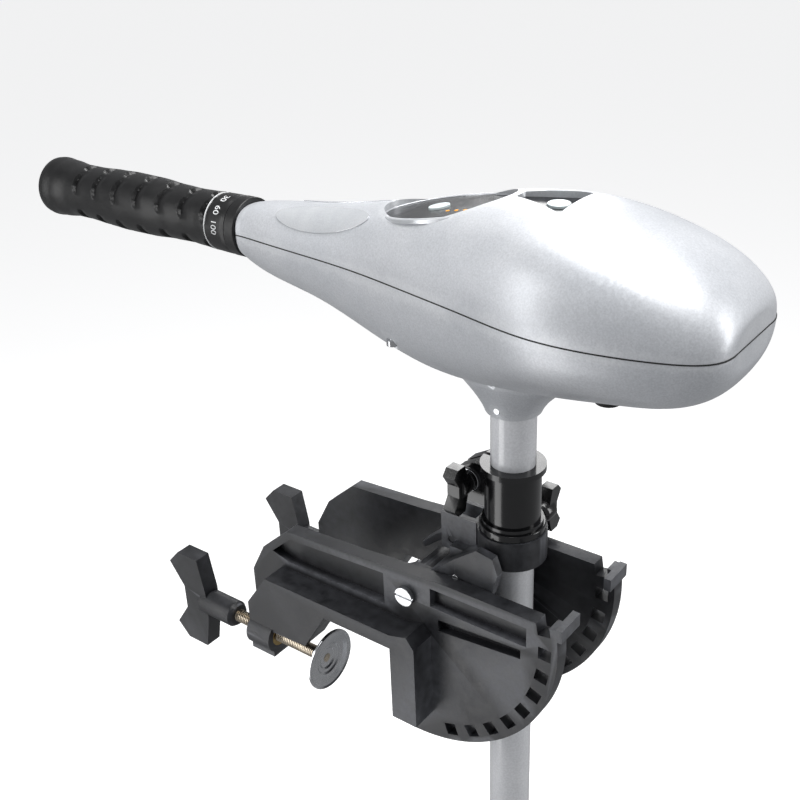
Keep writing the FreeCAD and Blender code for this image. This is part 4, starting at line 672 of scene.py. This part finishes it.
# %% Panel frame, rim and print
PANEL_SLOPE = math.radians(11)
panel_low, panel_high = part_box("control_panel")
panel_half_width = (panel_high.y - panel_low.y) / 2
panel_half_length = (panel_high.x - panel_low.x) / 2 / math.cos(PANEL_SLOPE)
panel_middle = Vector(((panel_low.x + panel_high.x) / 2, 0,
                       panel_high.z - panel_half_length * math.sin(PANEL_SLOPE)))
# The cuts of the rings: outwards from the ellipse and up from the panel, in millimetres.
RIM_PROFILE = [(-0.2, -2.0), (-0.2, 0.5), (0.3, 0.9), (1.6, 0.9), (2.3, 0.3), (2.3, -2.0)]
INK_RING = [(0.9, -0.3), (0.9, INK_MM), (1.9, INK_MM), (1.9, -0.3)]
STRIPE_RING = [(-4.6, -0.3), (-4.6, INK_MM), (-3.4, INK_MM), (-3.4, -0.3)]
LAMP_RING = [(0.3, -0.3), (0.3, INK_MM), (0.8, INK_MM), (0.8, -0.3)]
RIM_EDGE_MM = 0.15


def on_panel(along, across, lift):
    """A place on the sloping panel, from its middle."""
    return panel_middle + Vector((along * math.cos(PANEL_SLOPE) - lift * math.sin(PANEL_SLOPE), across,
                                  along * math.sin(PANEL_SLOPE) + lift * math.cos(PANEL_SLOPE)))


def oval_ring(along, across, half_length, half_width, profile):
    """A closed ring round an ellipse; the profile is (outwards, up) in millimetres."""
    shape = bmesh.new()
    rings = []
    for step in range(AROUND):
        angle = math.tau * step / AROUND
        rings.append([shape.verts.new(on_panel(along + (half_length + out * MM) * math.cos(angle),
                                               across + (half_width + out * MM) * math.sin(angle), up * MM))
                      for out, up in profile])
    for number, ring in enumerate(rings):
        following = rings[(number + 1) % AROUND]
        for corner in range(len(profile)):
            beyond = (corner + 1) % len(profile)
            shape.faces.new((ring[corner], ring[beyond], following[beyond], following[corner]))
    bmesh.ops.recalc_face_normals(shape, faces=shape.faces)
    return shape


show("panel_rim", oval_ring(0, 0, panel_half_length, panel_half_width, RIM_PROFILE),
     body_of["head_cover"], slot_of["badges"], edge_mm=RIM_EDGE_MM)


def printed(name, shape, ink):
    """Shows a print on the panel."""
    show(name, shape, body_of["control_panel"], slot_of["control_panel"], material=ink, edge_mm=0)


def along_panel(x):
    """A place's distance up the slope from the panel's middle."""
    return (x - panel_middle.x) / math.cos(PANEL_SLOPE)


button_low, button_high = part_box("meter_button")
button_middle = (button_low + button_high) / 2
button_radius = (button_high.y - button_low.y) / 2
printed("meter_ring", oval_ring(along_panel(button_middle.x), 0, button_radius, button_radius, INK_RING),
        teal_ink)
printed("panel_stripe", oval_ring(0, 0, panel_half_length, panel_half_width, STRIPE_RING), teal_ink)


def printed_on_panel(words, height_mm, along, across):
    """Words on the panel that read from the tiller's side, with their tops towards +X."""
    shape = lettering(words, height_mm)
    for point in shape.verts:
        point.co = on_panel(along + point.co.y, across - point.co.x, INK_MM * MM)
    bmesh.ops.recalc_face_normals(shape, faces=shape.faces)
    printed("panel_print_%s_%d" % (words, across / MM), shape, white_ink)


LAMP_WORDS = ("25", "50", "75", "100")
LAMP_WORD_MM = 2.6
LAMP_WORD_GAP = 6 * MM
lamp_low, lamp_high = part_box("led_lenses")
lamp_across = (lamp_low.y + lamp_high.y) / 2
lamp_radius = 1.2 * MM
lamp_pitch = (lamp_high.x - lamp_low.x - 2 * lamp_radius) / (len(LAMP_WORDS) - 1)
for number, words in enumerate(LAMP_WORDS):
    lamp_along = along_panel(lamp_low.x + lamp_radius + number * lamp_pitch)
    printed_on_panel(words, LAMP_WORD_MM, lamp_along, lamp_across + LAMP_WORD_GAP)
    printed("lamp_ring_" + words,
            oval_ring(lamp_along, lamp_across, lamp_radius, lamp_radius, LAMP_RING), white_ink)
print("panel slope", round(math.degrees(PANEL_SLOPE)), "degrees")

# %% [markdown]
# ## The seam
# The two shells of the head meet at a thin gap that lies in shade.  A small square bead of dark rubber, laid
# along the seam, is painted shade for that gap.  A level cut just under the lower shell's top gives the
# shell's outline as short edges.  Only the edges whose faces look away from the head's middle belong to the
# outer wall, and the bead is laid along those.

# %% Dark bead along the seam as painted shade
BEAD_OUT, BEAD_IN, BEAD_HALF = 0.22 * MM, 0.8 * MM, 0.38 * MM
BEAD_CUT = [(-BEAD_IN, -BEAD_HALF), (BEAD_OUT, -BEAD_HALF), (BEAD_OUT, BEAD_HALF), (-BEAD_IN, BEAD_HALF)]
CUT_DEPTH = 0.3 * MM
END_REACH = 150 * MM
seam_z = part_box("head_housing")[1].z


def place_key(place):
    return round(place.x, 5), round(place.y, 5)


def on_outer_wall(facing, middle):
    """Whether a level facing at a place looks away from the head's middle."""
    off_middle = middle.x - panel_middle.x
    looks_sideways = facing.y * middle.y > 0 and abs(facing.y) > 0.05 * facing.length
    looks_endways = abs(facing.x) > 0.8 * facing.length and facing.x * off_middle > 0
    return looks_sideways or (looks_endways and abs(off_middle) > END_REACH)


shell = merged("head_housing", flat_faces=False)
cut = bmesh.ops.bisect_plane(shell, geom=shell.verts[:] + shell.edges[:] + shell.faces[:],
                             plane_co=(0, 0, seam_z - CUT_DEPTH), plane_no=(0, 0, 1))["geom_cut"]
runs = []
corners = {}
for edge in [piece for piece in cut if isinstance(piece, bmesh.types.BMEdge) and piece.link_faces]:
    facing = edge.link_faces[0].normal.copy()
    facing.z = 0
    ends = [end.co.copy() for end in edge.verts]
    if facing.length > 0.2 and on_outer_wall(facing, (ends[0] + ends[1]) / 2):
        runs.append(ends)
        for place in ends:
            corners.setdefault(place_key(place), [place, Vector()])[1] += facing.normalized()
shell.free()

bead = bmesh.new()
made = {}
for key, (place, facing) in corners.items():
    facing.normalize()
    made[key] = [bead.verts.new((place.x + facing.x * out, place.y + facing.y * out, seam_z + up))
                 for out, up in BEAD_CUT]
for start, end in runs:
    near, far = made[place_key(start)], made[place_key(end)]
    if near is far:
        continue
    for corner in range(len(BEAD_CUT)):
        beyond = (corner + 1) % len(BEAD_CUT)
        bead.faces.new((near[corner], near[beyond], far[beyond], far[corner]))
bmesh.ops.recalc_face_normals(bead, faces=bead.faces)
# The dark bead is painted shade for the gap between the two shells.
show("seam_gasket", bead, body_of["head_housing"], slot_of["cord_gland"], edge_mm=0)
print("seam bead runs:", len(runs))

# %% [markdown]
# ## All the other parts
# What is left keeps its CAD shape and gets rounded edges and its finish.  The moulded knobs get
# broad round edges.  The free-form shells get normals weighted by face size, which keeps their
# reflections even across long thin triangles.

# %% Dressing the rest
WHOLE_CURVES = ("head_cover", "head_housing", "badges", "nose_bell", "tail_bell", "propeller", "prop_nut")
BROAD_EDGES = {"clamp_knob_left": 3.4, "clamp_knob_right": 3.4, "tension_knob": 2.4, "collar_knob": 2.4}
for node in slot_of:
    if node in remade:
        continue
    piece = copied(node, flat_faces=node not in WHOLE_CURVES, edge_mm=BROAD_EDGES.get(node))
    if node in WHOLE_CURVES:
        even = piece.modifiers.new("even_shading", "WEIGHTED_NORMAL")
        even.keep_sharp = True
shown = [thing for thing in bpy.data.objects if thing.type == "MESH" and not thing.hide_render]
print("pieces:", len(shown))

# %% [markdown]
# ## Sizes and the end
# The looks may not grow the object, so both boxes are kept side by side.
# Both boxes are set side by side, and how far the looks grew the object is printed.

# %% Boxes
seen_low, seen_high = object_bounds()
grown = list(seen_low - cad_low) + list(seen_high - cad_high)
print("grown by, in mm:", [round(change / MM, 2) for change in grown])
